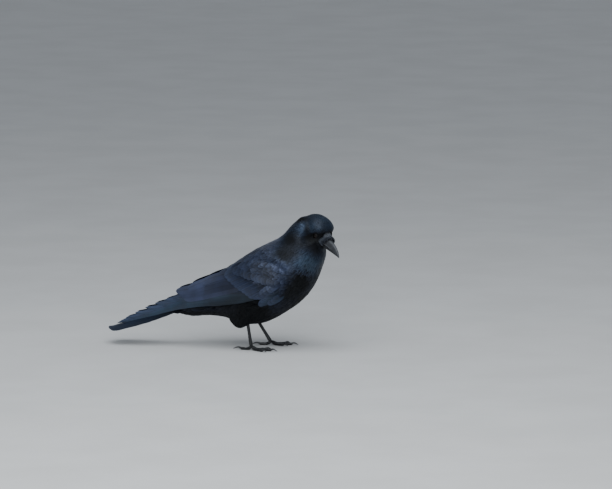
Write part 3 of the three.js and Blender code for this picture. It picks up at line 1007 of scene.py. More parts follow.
@dataclass(frozen=True)
class VaneGrid:
    """The lattice of one small feather: a thin closed lens of quads."""

    rows: int
    columns: int
    thickness: float

    def rim(self) -> Array:
        """Which points lie on the feather's edge."""
        edge = np.ones((self.rows, self.columns), bool)
        edge[1:-1, 1:-1] = False
        return np.concatenate([edge.ravel(), np.zeros((self.rows - 2) * (self.columns - 2), bool)])

    def lattice(self) -> tuple[Array, Array, Array, list]:
        """Lay out one feather.

        Returns:
            Across (-1 to 1), along (0 to 1) and underside (0 or 1) for each point, and the faces.
        """
        across, along = np.meshgrid(np.linspace(-1, 1, self.columns), self.spread())
        top = np.arange(self.rows * self.columns).reshape(self.rows, self.columns)
        low = top.copy()
        inner = np.arange((self.rows - 2) * (self.columns - 2)).reshape(self.rows - 2, self.columns - 2)
        low[1:-1, 1:-1] = inner + top.size
        faces = []
        for sheet, flip in ((top, False), (low, True)):
            for i in range(self.rows - 1):
                for j in range(self.columns - 1):
                    face = (sheet[i, j], sheet[i, j + 1], sheet[i + 1, j + 1], sheet[i + 1, j])
                    faces.append(tuple(int(k) for k in (face[::-1] if flip else face)))
        under = np.concatenate([np.zeros(top.size), np.ones(inner.size)])
        across = np.concatenate([across.ravel(), across[1:-1, 1:-1].ravel()])
        along = np.concatenate([along.ravel(), along[1:-1, 1:-1].ravel()])
        return across, along, under, faces

    def spread(self) -> Array:
        """Where the rows lie along the feather, closer together towards its tip."""
        return 1.0 - (1.0 - np.linspace(0, 1, self.rows)) ** 1.35


SPINE = (
    (-110, 0, 72), (-50, 0, 84), (20, 0, 100), (80, 0, 130), (125, 0, 172), (160, -8, 205), (190, -38, 196),
)
SPINE_STATIONS = 60
SPINE_LENGTH = 420.0


def unwrap(places: Array) -> Array:
    """Unroll places round the bird's own spine, from the tail (v 0) to the face (v 1).

    Args:
        places: Points in the row frame.

    Returns:
        A map place for each, filling the square.
    """
    line = through(SPINE, np.linspace(0, 1, SPINE_STATIONS))
    ahead = unit(np.gradient(line, axis=0))
    up = unit(np.cross(ahead, np.array([0.0, 1.0, 0.0])))
    side = np.cross(up, ahead)
    gaps = np.linalg.norm(places[:, None, :] - line[None, :, :], axis=2)
    i = gaps.argmin(1)
    off = places - line[i]
    slide = (off * ahead[i]).sum(1)
    angle = np.arctan2((off * side[i]).sum(1), -(off * up[i]).sum(1))
    spots = np.stack([angle / math.tau + 0.5, i / (SPINE_STATIONS - 1) + slide / SPINE_LENGTH], 1)
    low, high = spots.min(0), spots.max(0)
    return 0.01 + 0.97 * (spots - low) / (high - low)


@dataclass
class Coat:
    """The small feathers all over the skin; at the rear they follow the guide, a form with the tail in it."""

    skin: Surface
    guide: Surface
    chart: Chart
    body_grid: VaneGrid = VaneGrid(5, 5, 0.18)
    loose_grid: VaneGrid = VaneGrid(5, 7, 0.16)
    head_grid: VaneGrid = VaneGrid(4, 3, 0.12)
    small: float = 2.6  # the mean spacing under which a tract has the head's grid
    shaggy: float = 0.25  # the looseness over which it has the loose grid
    stations: int = 6
    crowding: int = 9  # tries for each root
    room: float = 0.85  # the share of the spacing that is kept clear round a root
    steepest: float = 0.6  # how far a feather's lie may stand off the skin where it grows
    rear: float = -88.0
    cap_x: float = -50.0  # behind this, feathers may fly free over the tail's root
    cap_z: float = 45.0  # above this and ahead of cap_x, roots grow on any slope
    patch: float = 0.003
    keeping: float = 0.6  # how much of its heading a feather keeps from step to step
    sway: float = 0.1
    leaving: tuple[float, float] = (0.25, 0.5)  # how far off the form, in steps, a feather flies free
    lengths: tuple[float, float] = (0.85, 1.15)
    widths: tuple[float, float] = (0.88, 1.12)
    rises: tuple[float, float] = (0.95, 1.05)
    sheen_and_painted_light_spread: tuple[float, float] = (0.75, 1.1)
    root_width: float = 0.4
    tapers_from: float = 0.45
    sag: float = 0.07
    roll: float = 0.025

    def roots(self, bare: object, rng: Chance) -> Array:
        """Choose evenly spread roots on the skin.

        Args:
            bare: Says for an array of places which grow no feather.
            rng: The source of chance.

        Returns:
            The places on the skin.
        """
        faces = self.skin.points[self.skin.faces]
        values, _ = self.chart.read(faces.mean(1))
        crowd = self.skin.areas / values["spacing"] ** 2
        picks = rng.choice(len(faces), int(crowd.sum() * self.crowding), p=crowd / crowd.sum())
        a, b = rng.random((2, len(picks)))
        over = a + b > 1
        a[over], b[over] = 1 - a[over], 1 - b[over]
        corners = faces[picks]
        tries = corners[:, 0] + a[:, None] * (corners[:, 1] - corners[:, 0])
        tries += b[:, None] * (corners[:, 2] - corners[:, 0])
        flat = self.skin.normals[self.skin.faces[picks]].mean(1)
        lying = (self.chart.lie(tries) * flat).sum(1) < self.steepest
        lying &= tries[:, 0] > self.rear
        tries = tries[lying | ((tries[:, 0] > self.cap_x) & (tries[:, 2] > self.cap_z))]
        tries = tries[~bare(tries)]
        room = self.chart.read(tries)[0]["spacing"] * self.room
        tree = kdtree.KDTree(len(tries))
        for i, place in enumerate(tries.tolist()):
            tree.insert(place, i)
        tree.balance()
        alive = np.ones(len(tries), bool)
        kept = []
        for i in range(len(tries)):
            if alive[i]:
                kept.append(i)
                for _, j, _ in tree.find_range(tries[i].tolist(), float(room[i])):
                    alive[j] = False
        return tries[kept]

    def nearest(self, places: Array) -> tuple[Array, Array]:
        """Find the nearest places the feathers follow: on the skin, or at the rear on the guide."""
        found, normals = self.skin.nearest(places)
        behind = places[:, 0] < self.cap_x
        if behind.any():
            found[behind], normals[behind] = self.guide.nearest(places[behind])
        return found, normals

    def paths(self, roots: Array, length: Array, rng: Chance) -> tuple[Array, Array]:
        """Follow the lie of the coat from each root, and behind the body fly on free over the tail's root.

        Args:
            roots: Places on the skin.
            length: Each feather's length.
            rng: The source of chance.

        Returns:
            Places and normals of shape (feathers, stations, 3).
        """
        place, normal = self.nearest(roots)
        places, normals = [place], [normal]
        step = (length / (self.stations - 1))[:, None]
        sway = rng.normal(0, self.sway, len(roots))[:, None]
        heading = self.chart.lie(place)
        free = np.zeros((len(roots), 1))
        for _ in range(self.stations - 1):
            lie = self.chart.lie(place) + self.keeping * heading
            lie = unit(lie - (lie * normal).sum(1, keepdims=True) * normal)
            heading = unit((lie + sway * np.cross(normal, lie)) * (1 - free) + heading * free)
            ahead = place + heading * step
            found, fresh = self.nearest(ahead)
            off = np.linalg.norm(found - ahead, axis=1, keepdims=True) / step
            free = np.maximum(free, ease(off, *self.leaving) * (ahead[:, :1] < self.cap_x))
            place = found + (ahead - found) * free
            normal = unit(normal + fresh * (1 - free))
            places.append(place)
            normals.append(normal)
        return np.stack(places, 1), np.stack(normals, 1)

    def feathers(self, roots: Array, grid: VaneGrid, rng: Chance) -> Shape:
        """Grow one feather from each root.

        Args:
            roots: Places on the skin.
            grid: The lattice of one feather.
            rng: The source of chance.

        Returns:
            All of them as one shape.
        """
        values, _ = self.chart.read(roots)
        count = len(roots)
        length = values["length"] * rng.uniform(*self.lengths, count)
        half = values["width"] * rng.uniform(*self.widths, count) / 2
        places, normals = self.paths(roots, length, rng)
        across, along, under, faces = grid.lattice()
        point = values["point"][:, None]
        loose = values["loose"][:, None]
        tip_share = 0.66 - 0.5 * point
        grown = self.root_width + (1 - self.root_width) * ease(along, 0.0, 0.55)
        ending = np.clip((along - self.tapers_from) / (1 - self.tapers_from), 0, 1)[None, :]
        taper = 1 - (1 - tip_share) * ending**2.2
        wide = half[:, None] * grown[None, :] * taper
        ragged = rng.uniform(-1, 1, (count, len(along)))
        back = (0.1 + 0.05 * point) * across**2 * along**3
        notch = 0.5 * (1 - np.cos(3 * math.pi * across)) * (1.2 + ragged)
        v = np.clip(along[None, :] - back - 0.1 * loose * notch * along**5, 0, 1)
        x = across[None, :] + 0.16 * loose * ragged * along**2
        spot = v * (self.stations - 1)
        i = np.minimum(spot.astype(int), self.stations - 2)
        f = (spot - i)[:, :, None]
        row = np.arange(count)[:, None]
        centre = places[row, i] * (1 - f) + places[row, i + 1] * f
        normal = unit(normals[row, i] * (1 - f) + normals[row, i + 1] * f)
        ahead = unit(places[row, i + 1] - places[row, i])
        side = unit(np.cross(ahead, normal))
        jitter = rng.uniform(*self.rises, count)[:, None]
        rise = values["depth"][:, None] * jitter * (0.1 + 0.55 * ease(v, 0.0, 0.35) + 0.35 * v)
        rise += values["lift"][:, None] * values["depth"][:, None] * 0.5 * v**3
        sag = self.sag * wide * across[None, :] ** 2
        roll = rng.normal(0, self.roll, count)[:, None] * wide * x
        rise += roll - sag - under[None, :] * grid.thickness
        points = centre + side * (x * wide)[:, :, None] + normal * rise[:, :, None]
        spots = unwrap(roots)
        patch = np.stack([across * 0.5, along - 0.5], 1) * self.patch
        size = len(across)
        shift = (np.arange(count) * size)[:, None, None]
        every = (np.array(faces)[None, :, :] + shift).reshape(-1, 4)
        return Shape(
            points.reshape(-1, 3),
            every.tolist(),
            {
                "Vane": np.tile(np.stack([across * 0.5 + 0.5, along], 1), (count, 1)),
                "OFBake": (spots[:, None, :] + patch[None, :, :]).reshape(-1, 2),
            },
            # Each feather's glossiness and teal share, which set its painted sheen and painted light.
            {
                "tone": np.repeat(rng.uniform(-1, 1, count), size),
                "gloss": np.repeat(values["gloss"] * rng.uniform(*self.sheen_and_painted_light_spread, count), size),
                "teal": np.repeat(values["teal"], size),
            },
            np.tile(grid.rim(), count),
        )


# ---------- Flight feathers ----------


class Sheet:
    """The outer face of some solids as heights over a plane, carried on smoothly past their edges."""

    step = 2.0
    reach = 300.0
    carrying = 60
    smoothing = 3

    def __init__(
        self, names: tuple[str, ...], plane: tuple[int, int], out: int, sign: int, box: tuple
    ) -> None:
        """Measure the heights.

        Args:
            names: The solids.
            plane: The two axes of the plane.
            out: The axis along which heights are measured.
            sign: 1 or -1, which way along it the face looks.
            box: Lowest and highest first and second coordinate.
        """
        self.plane = plane
        self.out = out
        self.sign = sign
        self.low = np.array([box[0], box[2]], float)
        counts = [int((box[2 * k + 1] - box[2 * k]) / self.step) + 1 for k in range(2)]
        tree = node_tree(*names)
        heights = np.full(counts, np.nan)
        for i in range(counts[0]):
            for j in range(counts[1]):
                start = [0.0, 0.0, 0.0]
                start[plane[0]] = self.low[0] + i * self.step
                start[plane[1]] = self.low[1] + j * self.step
                start[out] = sign * self.reach
                way = [0.0, 0.0, 0.0]
                way[out] = -sign
                hit = tree.ray_cast(start, way, 2 * self.reach)
                if hit[0] is not None:
                    heights[i, j] = sign * hit[0][out]
        self.heights = self.filled(heights)

    def filled(self, heights: Array) -> Array:
        """Carry the heights outwards over the empty places, and smooth them."""
        known = ~np.isnan(heights)
        value = np.where(known, heights, 0.0)
        weight = known.astype(float)
        for _ in range(self.carrying):
            total, count = self.around(value * weight), self.around(weight)
            fresh = (weight == 0) & (count > 0)
            value[fresh] = total[fresh] / count[fresh]
            weight[fresh] = 1.0
        value[weight == 0] = value[weight > 0].mean()
        for _ in range(self.smoothing):
            value = self.around(value) / self.around(np.ones_like(value))
        return value

    @staticmethod
    def around(grid: Array) -> Array:
        """Add up each cell and its eight neighbours."""
        padded = np.pad(grid, 1)
        rows, columns = grid.shape
        return sum(padded[i : i + rows, j : j + columns] for i in range(3) for j in range(3))

    def points(self, flat: Array, above: Array) -> Array:
        """Put places of the plane on the sheet.

        Args:
            flat: Places of shape (n, 2).
            above: How far outside the face each one lies.

        Returns:
            Points in the row frame.
        """
        spot = (flat - self.low) / self.step
        top = np.array(self.heights.shape) - 1.001
        spot = np.clip(spot, 0, top)
        i = spot.astype(int)
        f = spot - i
        height = sum(
            self.heights[i[:, 0] + a, i[:, 1] + b]
            * (f[:, 0] if a else 1 - f[:, 0])
            * (f[:, 1] if b else 1 - f[:, 1])
            for a in (0, 1)
            for b in (0, 1)
        )
        result = np.zeros((len(flat), 3))
        result[:, self.plane[0]] = flat[:, 0]
        result[:, self.plane[1]] = flat[:, 1]
        result[:, self.out] = self.sign * (height + above)
        return result


class Tip(Enum):
    """The end of a flight feather: where each web narrows, leading web first, and two powers."""

    ROUND = (0.87, 0.84, 2.0, 0.5)
    SHORT = (0.8, 0.76, 2.1, 0.5)
    POINTED = (0.8, 0.66, 1.5, 0.7)


@dataclass(frozen=True)
class Quill:
    """One large feather, laid on a sheet."""

    path: tuple[tuple[float, float], ...]
    lead: float
    trail: float
    tip: Tip = Tip.ROUND
    root_above: float = 0.0
    tip_above: float = 0.0
    shingle: float = 0.0
    camber: float = 0.5
    # The glossiness number sets how much painted sheen and painted light a quill shows, besides its coat and
    # metal; teal and teal_lead give that painted sheen its teal hue, the latter on the leading web.
    teal: float = 0.0
    teal_lead: float = 0.0
    gloss: float = 1.0
    thickness: float = 0.3
    rachis: float = 0.35

    columns = (-1.0, -0.8, -0.45, -0.07, 0.0, 0.07, 0.45, 0.8, 1.0)
    rows = 22
    stations = 120
    root_width = 0.22
    root_reach = 0.14
    tip_width = 0.05
    shaft_half = 0.06

    def shape(self, sheet: Sheet, cell: tuple[float, float, float, float], tone: float) -> Shape:
        """Build the vane with its raised shaft.

        Args:
            sheet: What it lies on. Its leading edge is towards the lower second coordinate.
            cell: Its own oblong of the map: left, bottom, width and height.
            tone: How light it is beside its neighbours, from -1 to 1.

        Returns:
            The vane as a closed thin shape.
        """
        grid = VaneGrid(self.rows, len(self.columns), self.thickness)
        across, along, under, faces = grid.lattice()
        order = np.linspace(-1, 1, len(self.columns))
        across = np.interp(across, order, self.columns)
        line = through(self.path, np.linspace(0, 1, self.stations))
        run = np.concatenate([[0], np.cumsum(np.linalg.norm(np.diff(line, axis=0), axis=1))])
        lead_start, trail_start, blunt, power = self.tip.value
        start = np.where(across < 0, lead_start, trail_start)
        end = np.clip((along - start) / (1 - start), 0, 1)
        outline = (1 - end**blunt) ** power * (1 - self.tip_width) + self.tip_width
        outline = outline * (self.root_width + (1 - self.root_width) * ease(along, 0.0, self.root_reach))
        width = np.where(across < 0, self.lead, self.trail) * outline
        place = run[-1] * along
        centre = np.stack([np.interp(place, run, line[:, k]) for k in range(2)], 1)
        ahead = unit(np.stack([np.interp(place, run, np.gradient(line[:, k], run)) for k in range(2)], 1))
        side = np.stack([ahead[:, 1], -ahead[:, 0]], 1)
        side = side * np.where(side[:, 1:2] > 0, 1.0, -1.0)
        flat = centre + side * (across * width)[:, None]
        above = self.root_above + (self.tip_above - self.root_above) * along
        above = above - self.shingle * across * outline - self.camber * across**2
        above = above + self.rachis * np.exp(-((across / self.shaft_half) ** 2)) * (1 - 0.6 * along)
        above = above - under * self.thickness
        points = sheet.points(flat, above)
        corners = points[np.array(faces[0])]
        normal = np.cross(corners[1] - corners[0], corners[2] - corners[0])[sheet.out]
        left, bottom, wide, high = cell
        spots = np.stack([left + wide * (across * 0.5 + 0.5), bottom + high * along], 1)
        size = len(across)
        return Shape(
            points,
            faces if normal * sheet.sign > 0 else [face[::-1] for face in faces],
            {"Vane": np.stack([across * 0.5 + 0.5, along], 1), "OFBake": spots},
            {
                "tone": np.full(size, tone),
                "gloss": np.full(size, self.gloss),
                "teal": np.clip(self.teal + self.teal_lead * ease(-across, 0.2, 0.9), 0, 1),
            },
            grid.rim(),
        )


def lay(quills: list[Quill], sheet: Sheet, rng: Chance, stray: float = 0.0) -> Shape:
    """Build a row of quills as one shape, each with its own oblong of the map.

    Args:
        quills: The quills, from the lowest.
        sheet: What they lie on.
        rng: The source of chance.
        stray: How far their tips stray, in millimetres.

    Returns:
        All of them as one shape.
    """
    side = math.ceil(math.sqrt(len(quills)))
    made = None
    for i, quill in enumerate(quills):
        cell = (0.01 + (i % side) * 0.98 / side, 0.01 + (i // side) * 0.98 / side, 0.9 / side, 0.9 / side)
        off = rng.normal(0, stray, 2)
        path = tuple(
            (x + off[0] * k / (len(quill.path) - 1), z + off[1] * k / (len(quill.path) - 1))
            for k, (x, z) in enumerate(quill.path)
        )
        vane = replace(quill, path=path).shape(sheet, cell, rng.uniform(-0.6, 0.6))
        made = made.joined(vane) if made else vane
    return made


@dataclass
class FoldedWing(Sided):
    """The flight feathers and greater rows of coverts of one folded wing, as (x, z) places on the flank."""

    side: int
    edge: tuple = (
        (67.0, 90.0), (34.0, 86.0), (0.0, 80.0), (-40.0, 75.5), (-80.0, 68.0), (-102.0, 61.0), (-134.0, 50.5),
        (-160.0, 43.5), (-186.0, 36.0),
    )
    stack: tuple = (0.0, 0.4, 0.9, 1.7, 2.7, 3.7, 4.7, 5.7, 6.7, 7.7)
    primary_tips: tuple = (
        (-114, 61.5), (-162, 45.5), (-190, 37.5), (-199, 36.5), (-183, 47), (-166, 56.5), (-148, 66),
        (-130, 74), (-113, 80.5), (-98, 86),
    )
    panel_edge: tuple = ((62.0, 112.0), (35.0, 107.0), (-3.0, 97.5), (-41.0, 89.5), (-60.0, 86.0))

    @staticmethod
    def height(edge: tuple, x: float) -> float:
        """The height at an x of an edge that runs rearwards."""
        spots = np.array(edge)[::-1]
        return float(np.interp(x, spots[:, 0], spots[:, 1]))

    def primaries(self) -> Iterator[Quill]:
        """The ten primaries, from the outermost, which lies lowest and nearest the body."""
        for i, (tip_x, tip_z) in enumerate(self.primary_tips):
            path = [(60.0 + 4.0 * i, 94.0 + 1.5 * i)]
            for x in np.linspace(20, tip_x + 26, 5):
                gap = float(np.interp(x, [-186, -150, -110], [0.5, 1.5, 2.1]))
                path.append((float(x), self.height(self.edge, float(x)) + 3.6 + self.stack[i] * gap))
            path.append((tip_x, tip_z))
            yield Quill(
                tuple(path), lead=3.4 + 0.15 * i, trail=8.0 + 0.3 * i, tip=Tip.POINTED,
                root_above=-1.2 + 0.12 * i, tip_above=-1.3 + 0.18 * i, shingle=0.5, camber=0.3,
                teal_lead=0.5, teal=0.2, gloss=1.25,
            )

    def secondaries(self) -> Iterator[Quill]:
        """The eight secondaries that show as steps along the panel's lower edge."""
        for k in range(8):
            tip_x = -46.0 - 3.2 * k
            path = [(70.0, 116.0 + 1.2 * k)]
            for x in np.linspace(38, tip_x + 16, 4):
                path.append((float(x), self.height(self.panel_edge, float(x)) + 3.8 + 1.7 * k))
            path.append((tip_x, self.height(self.panel_edge, tip_x) + 2.6 + 1.2 * k))
            yield Quill(
                tuple(path), lead=4.2, trail=9.0, root_above=-0.8 + 0.1 * k, tip_above=0.0 + 0.16 * k,
                shingle=0.5, camber=0.3, teal_lead=0.2, gloss=1.6,
            )

    def tertials(self) -> Iterator[Quill]:
        """The broad innermost feathers that make the panel's smooth face and rounded rear end."""
        paths = [
            ((42, 118), (-10, 104), (-45, 94), (-74, 88.5)),
            ((40, 125), (-12, 110.5), (-48, 100), (-83, 93)),
            ((36, 131), (-14, 118), (-52, 106.5), (-91, 97.5)),
            ((30, 138), (-12, 127), (-42, 117), (-68, 106)),
            ((26, 143), (-4, 133), (-24, 126), (-42, 117)),
        ]
        for j, path in enumerate(paths):
            yield Quill(
                path, lead=8.0, trail=6.5 - 0.5 * j, root_above=0.2 + 0.2 * j, tip_above=1.4 + 0.25 * j,
                shingle=0.4, camber=0.4, gloss=1.65 - 0.2 * j,
            )

    def greater_coverts(self) -> Iterator[Quill]:
        """The row over the secondaries, whose tips step back and up."""
        for k in range(14):
            t = np.array([k / 13])
            tip_x, tip_z = through([(90, 115), (74, 104), (56, 98), (39, 108), (20, 119), (2, 131)], t)[0]
            slope = math.radians(30 - 9 * k / 13)
            reach = 26.0 + 14.0 * min(1.0, k / 5)
            root = (tip_x + reach * math.cos(slope), tip_z + reach * math.sin(slope))
            middle = (tip_x + 0.5 * reach * math.cos(slope), tip_z + 0.5 * reach * math.sin(slope) + 1.2)
            yield Quill(
                (root, middle, (tip_x, tip_z)), lead=7.5, trail=7.5, tip=Tip.SHORT,
                root_above=-1.6 + 0.06 * k, tip_above=1.9 + 0.1 * k, shingle=0.6, camber=0.5,
            )

    def median_coverts(self) -> Iterator[Quill]:
        """The short row over the greater coverts, up to the scapulars."""
        for k in range(15):
            t = np.array([k / 14])
            tip_x, tip_z = through([(97, 119), (80, 124), (60, 129), (36, 135), (14, 141)], t)[0]
            yield Quill(
                ((tip_x + 22, tip_z + 10), (tip_x + 11, tip_z + 6), (tip_x, tip_z)), lead=6.4, trail=6.4,
                tip=Tip.SHORT, root_above=-2.4, tip_above=1.9 + 0.03 * k, shingle=0.3, camber=0.3, gloss=0.5,
                rachis=0.15,
            )

    def primary_coverts(self) -> Iterator[Quill]:
        """The leaf-shaped stack of primary coverts and alula at the wing's bend."""
        stack = Quill((), lead=4.2, trail=5.6, root_above=-1.8, shingle=0.5, camber=0.4, gloss=0.9)
        for k in range(7):
            tip = (66.5 + 2.6 * k, 84.0 + 2.9 * k)
            path = self.bent(tip, (112.0 - 0.6 * k, 109.0 + 0.8 * k), 2.5)
            yield replace(stack, path=path, tip_above=0.6 + 0.16 * k, teal=0.2, teal_lead=0.25)
        alula = replace(stack, lead=4.4, trail=5.0, teal=0.18, teal_lead=0.2)
        for k in range(3):
            path = self.bent((84.0 + 5.0 * k, 88.0 + 3.6 * k), (115.0, 108.0 + 2.0 * k), 3.0)
            yield replace(alula, path=path, tip_above=1.8 + 0.2 * k)

    @staticmethod
    def bent(tip: tuple, root: tuple, sag: float) -> tuple:
        """The path of a short quill whose middle sags and lies 2 mm ahead of halfway."""
        return root, (0.5 * (tip[0] + root[0]) + 2.0, 0.5 * (tip[1] + root[1]) - sag), tip

    def build(self, finishes: dict[str, Material]) -> None:
        """Build the wing's three pieces; the flight feathers stand for the primaries' solid."""
        box = (-200.0, 140.0, 30.0, 180.0)
        sheet = Sheet((f"wing_{self.name}", f"primaries_{self.name}"), (0, 2), 1, self.side, box)
        rng = np.random.default_rng(SEED + self.side)
        outer = lay([*self.primaries()], sheet, rng)
        outer = outer.piece(f"primary_feathers_{self.name}", finishes["primaries"], "flight")
        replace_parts(outer, f"primaries_{self.name}")
        panel = [*self.secondaries(), *self.tertials()]
        lay(panel, sheet, rng, 0.4).piece(f"secondary_feathers_{self.name}", finishes["panel"], "flight")
        coverts = [*self.primary_coverts(), *self.greater_coverts(), *self.median_coverts()]
        lay(coverts, sheet, rng, 0.7).piece(f"wing_coverts_{self.name}", finishes["coverts"], "flight")


@dataclass
class Tail:
    """Twelve closed tail feathers: the middle pair on top, each pair outwards a little lower."""

    pairs: int = 6
    root_x: float = -64.0
    tip_x: float = -217.0
    spread_root: float = 11.0
    spread_tip: float = 22.0
    half: float = 13.0

    def build(self, material: Material) -> None:
        """Build the tail as one piece in place of its solid."""
        sheet = Sheet(("tail",), (0, 1), 2, 1, (-220.0, -50.0, -44.0, 44.0))
        quills = []
        for pair in reversed(range(self.pairs)):
            share = pair / (self.pairs - 1)
            for side in (RIGHT, LEFT):
                tip_x = self.tip_x + 10.0 * share**2 + 1.0
                root_y = side * self.spread_root * share
                tip_y = side * (1.2 + self.spread_tip * share)
                middle = (0.5 * (self.root_x + tip_x), side * (0.6 + 0.88 * self.spread_tip * share))
                wide, narrow = self.half, self.half * (1.0 - 0.42 * share)
                lead, trail = (narrow, wide) if side == RIGHT else (wide, narrow)
                quills.append(Quill(
                    ((self.root_x, root_y), middle, (tip_x, tip_y)), lead=lead, trail=trail,
                    root_above=1.2 - 0.34 * pair, tip_above=3.0 - 0.32 * pair, camber=0.3, gloss=0.45,
                    teal=0.2,
                ))
        made = lay(quills, sheet, np.random.default_rng(SEED)).piece("tail_feathers", material, "flight")
        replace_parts(made, "tail")


# ---------- Bill and eyes ----------


@dataclass(frozen=True)
class BillHalf:
    """One half of the bill, as rings along the head's x: at, top, low and half width."""

    node: str
    rings: tuple
    widest: float  # how far down its height the half is widest
    ridge: float  # how much it narrows towards top and bottom
    around: int = 48
    along: int = 64
    # Height above the upper half's lower edge and width of its painted highlight.
    rim_height: float = 1.2
    rim_width: float = 1.5

    def build(self, material: Material) -> None:
        """Build the half in place of its solid; the upper one has a painted highlight along its lower edge
        and a fainter one on its ridge.
        """
        t = np.linspace(0.01, 0.995, self.along)
        at, top, low, half = through(self.rings, t).T
        angle = turns(self.around)
        up = np.cos(angle)[None, :]
        middle = (top + (low - top) * self.widest)[:, None]
        reach = np.where(up > 0, (top[:, None] - middle), (middle - low[:, None]))
        pinch = 1 - self.ridge * np.clip(np.abs(up), 0, 1) ** 3
        y = half[:, None] * np.sin(angle)[None, :] * pinch
        z = middle + reach * up
        rings = np.stack([np.broadcast_to(at[:, None], y.shape), y, z], 2)
        points, faces = loft(HEAD.row(rings.reshape(-1, 3)).reshape(rings.shape))
        upper = self.widest > 0.5
        # Painted highlight: a pale stripe just above the upper half's cutting edge and a fainter one on its
        # ridge. Both tips are a little paler.
        part = ease(at, 27, 34) * (1 - ease(at, 46, 62))
        rim = np.exp(-(((z - low[:, None] - self.rim_height) / self.rim_width) ** 2)) * part[:, None] * upper
        culmen_highlight = ease(up, 0.6, 1.0) * ease(at, 34, 50)[:, None] * upper
        pale = np.clip(0.95 * rim + 0.1 * culmen_highlight, 0, 1)
        values = np.concatenate([np.broadcast_to(pale, y.shape).ravel(), [0.0, 0.4]])
        shape = Shape(points, faces, {}, {"pale": values})
        made = shape.piece(self.node.replace("bill_", "mandible_"), material, "bill", outward=True)
        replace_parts(made, self.node)


UPPER_MANDIBLE = BillHalf(
    "bill_upper",
    (
        (17, -4, -4, 0), (19, 1, -7, 9.2), (30, 4.8, -7, 8.8), (42, 4.2, -7.6, 6.9), (52, 2.2, -8.8, 5.4),
        (61, -1.2, -10.6, 4.1), (68, -5.8, -12.5, 2.9), (73, -10.8, -14.3, 1.4), (75, -14.6, -14.6, 0),
    ),
    widest=0.88,
    ridge=0.14,
)
LOWER_MANDIBLE = BillHalf(
    "bill_lower",
    (
        (17, -10, -10, 0), (19, -7.4, -14.8, 8.9), (30, -7.4, -15.2, 8.2), (42, -8, -14.6, 6.3),
        (52, -9.2, -14.2, 4.8), (61, -11, -14.1, 3.3), (68, -13, -14.2, 1.6), (70, -13.9, -13.9, 0),
    ),
    widest=0.15,
    ridge=0.1,
)


@dataclass(frozen=True)
class Eye(Sided):
    """An eye with its ring of bare lid."""

    side: int
    radius: float = 6.9
    forward: float = 0.8  # how far ahead of its solid the eye sits
    lid_radius: float = 4.5
    lid_profile: tuple = (
        (0.0, -0.9, 0.0), (-0.05, 0.1, 0.5), (0.12, 0.32, 1.0), (0.36, 0.38, 1.0), (0.65, 0.22, 0.5),
        (1.1, -0.25, 0.0), (1.7, -1.0, 0.0), (2.2, -2.0, 0.0), (1.5, -2.3, 0.0), (0.7, -1.5, 0.0),
    )  # how far out from the opening, how high and how granular
    flattened: float = 0.2
    grains: int = 26
    grain_height: float = 0.25
    outlook: Point = (0.28, 0.95, 0.06)

    def axes(self) -> tuple[Array, Array, Array, Array]:
        """The eye's centre, the way it looks, and the two directions across that."""
        low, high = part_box(f"eye_{self.name}")
        centre = np.array((low + high) / 2) / MM
        look = unit(HEAD.turn @ np.array([self.outlook[0], self.side * self.outlook[1], self.outlook[2]]))
        up = unit(np.cross(np.cross(look, HEAD.turn[:, 2]), look))
        centre = centre + self.forward * look
        return centre, look, up, np.cross(up, look)

    def before(self, places: Array) -> tuple[Array, Array]:
        """How far ahead of the eye's centre places are, and how far from the line along which it looks."""
        centre, look, _, _ = self.axes()
        off = places - centre
        ahead = off @ look
        return ahead, np.linalg.norm(off - ahead[:, None] * look, axis=1)

    def build(self, eye: Material, lid: Material) -> None:
        """Build the eyeball in place of its solid, and the lids round it."""
        centre, look, up, across = self.axes()
        rows, around, pole = 40, 48, 0.02
        turn = np.linspace(pole, math.pi - pole, rows)
        angle = turns(around)
        spread = up[None, :] * np.cos(angle)[:, None] + across[None, :] * np.sin(angle)[:, None]
        rings = look * np.cos(turn)[:, None, None] + spread[None, :, :] * np.sin(turn)[:, None, None]
        points, faces = loft(centre + self.radius * rings)
        front = np.cos(turn) > 0
        ring = np.where(front, np.sin(turn), 1.0)
        values = np.concatenate([np.repeat(ring, around), [0.0, 1.0]])
        ball = Shape(points, faces, {}, {"ring": values})
        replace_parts(ball.piece(f"eyeball_{self.name}", eye, "eye", outward=True), f"eye_{self.name}")
        self.lids(lid)

    def lids(self, material: Material) -> None:
        """Build the lids: a granular rim, flattened above, and skin that dives under the feathers."""
        centre, look, up, across = self.axes()
        around = 72
        angle = turns(around)
        opening = self.lid_radius * (1 - self.flattened * np.clip(np.cos(angle), 0, 1) ** 2)
        level = np.sqrt(self.radius**2 - opening**2)
        spread = up * np.cos(angle)[:, None] + across * np.sin(angle)[:, None]
        grains = 1 + self.grain_height * np.cos(angle * self.grains)
        rings = []
        for out, lift, grain in self.lid_profile:
            reach = opening + out
            height = level + lift * (1 + grain * (grains - 1))
            rings.append(centre + spread * reach[:, None] + look * height[:, None])
        rings = np.stack(rings, 1)
        count = len(self.lid_profile)
        faces = []
        for i in range(around):
            for j in range(count):
                k, m = (i + 1) % around, (j + 1) % count
                faces.append((i * count + j, k * count + j, k * count + m, i * count + m))
        pale = np.tile([0.6 * grain for _, _, grain in self.lid_profile], around)
        shape = Shape(rings.reshape(-1, 3), faces, {}, {"pale": pale})
        shape.piece(f"eyelids_{self.name}", material, "plumage", outward=True)


# ---------- Bristles ----------


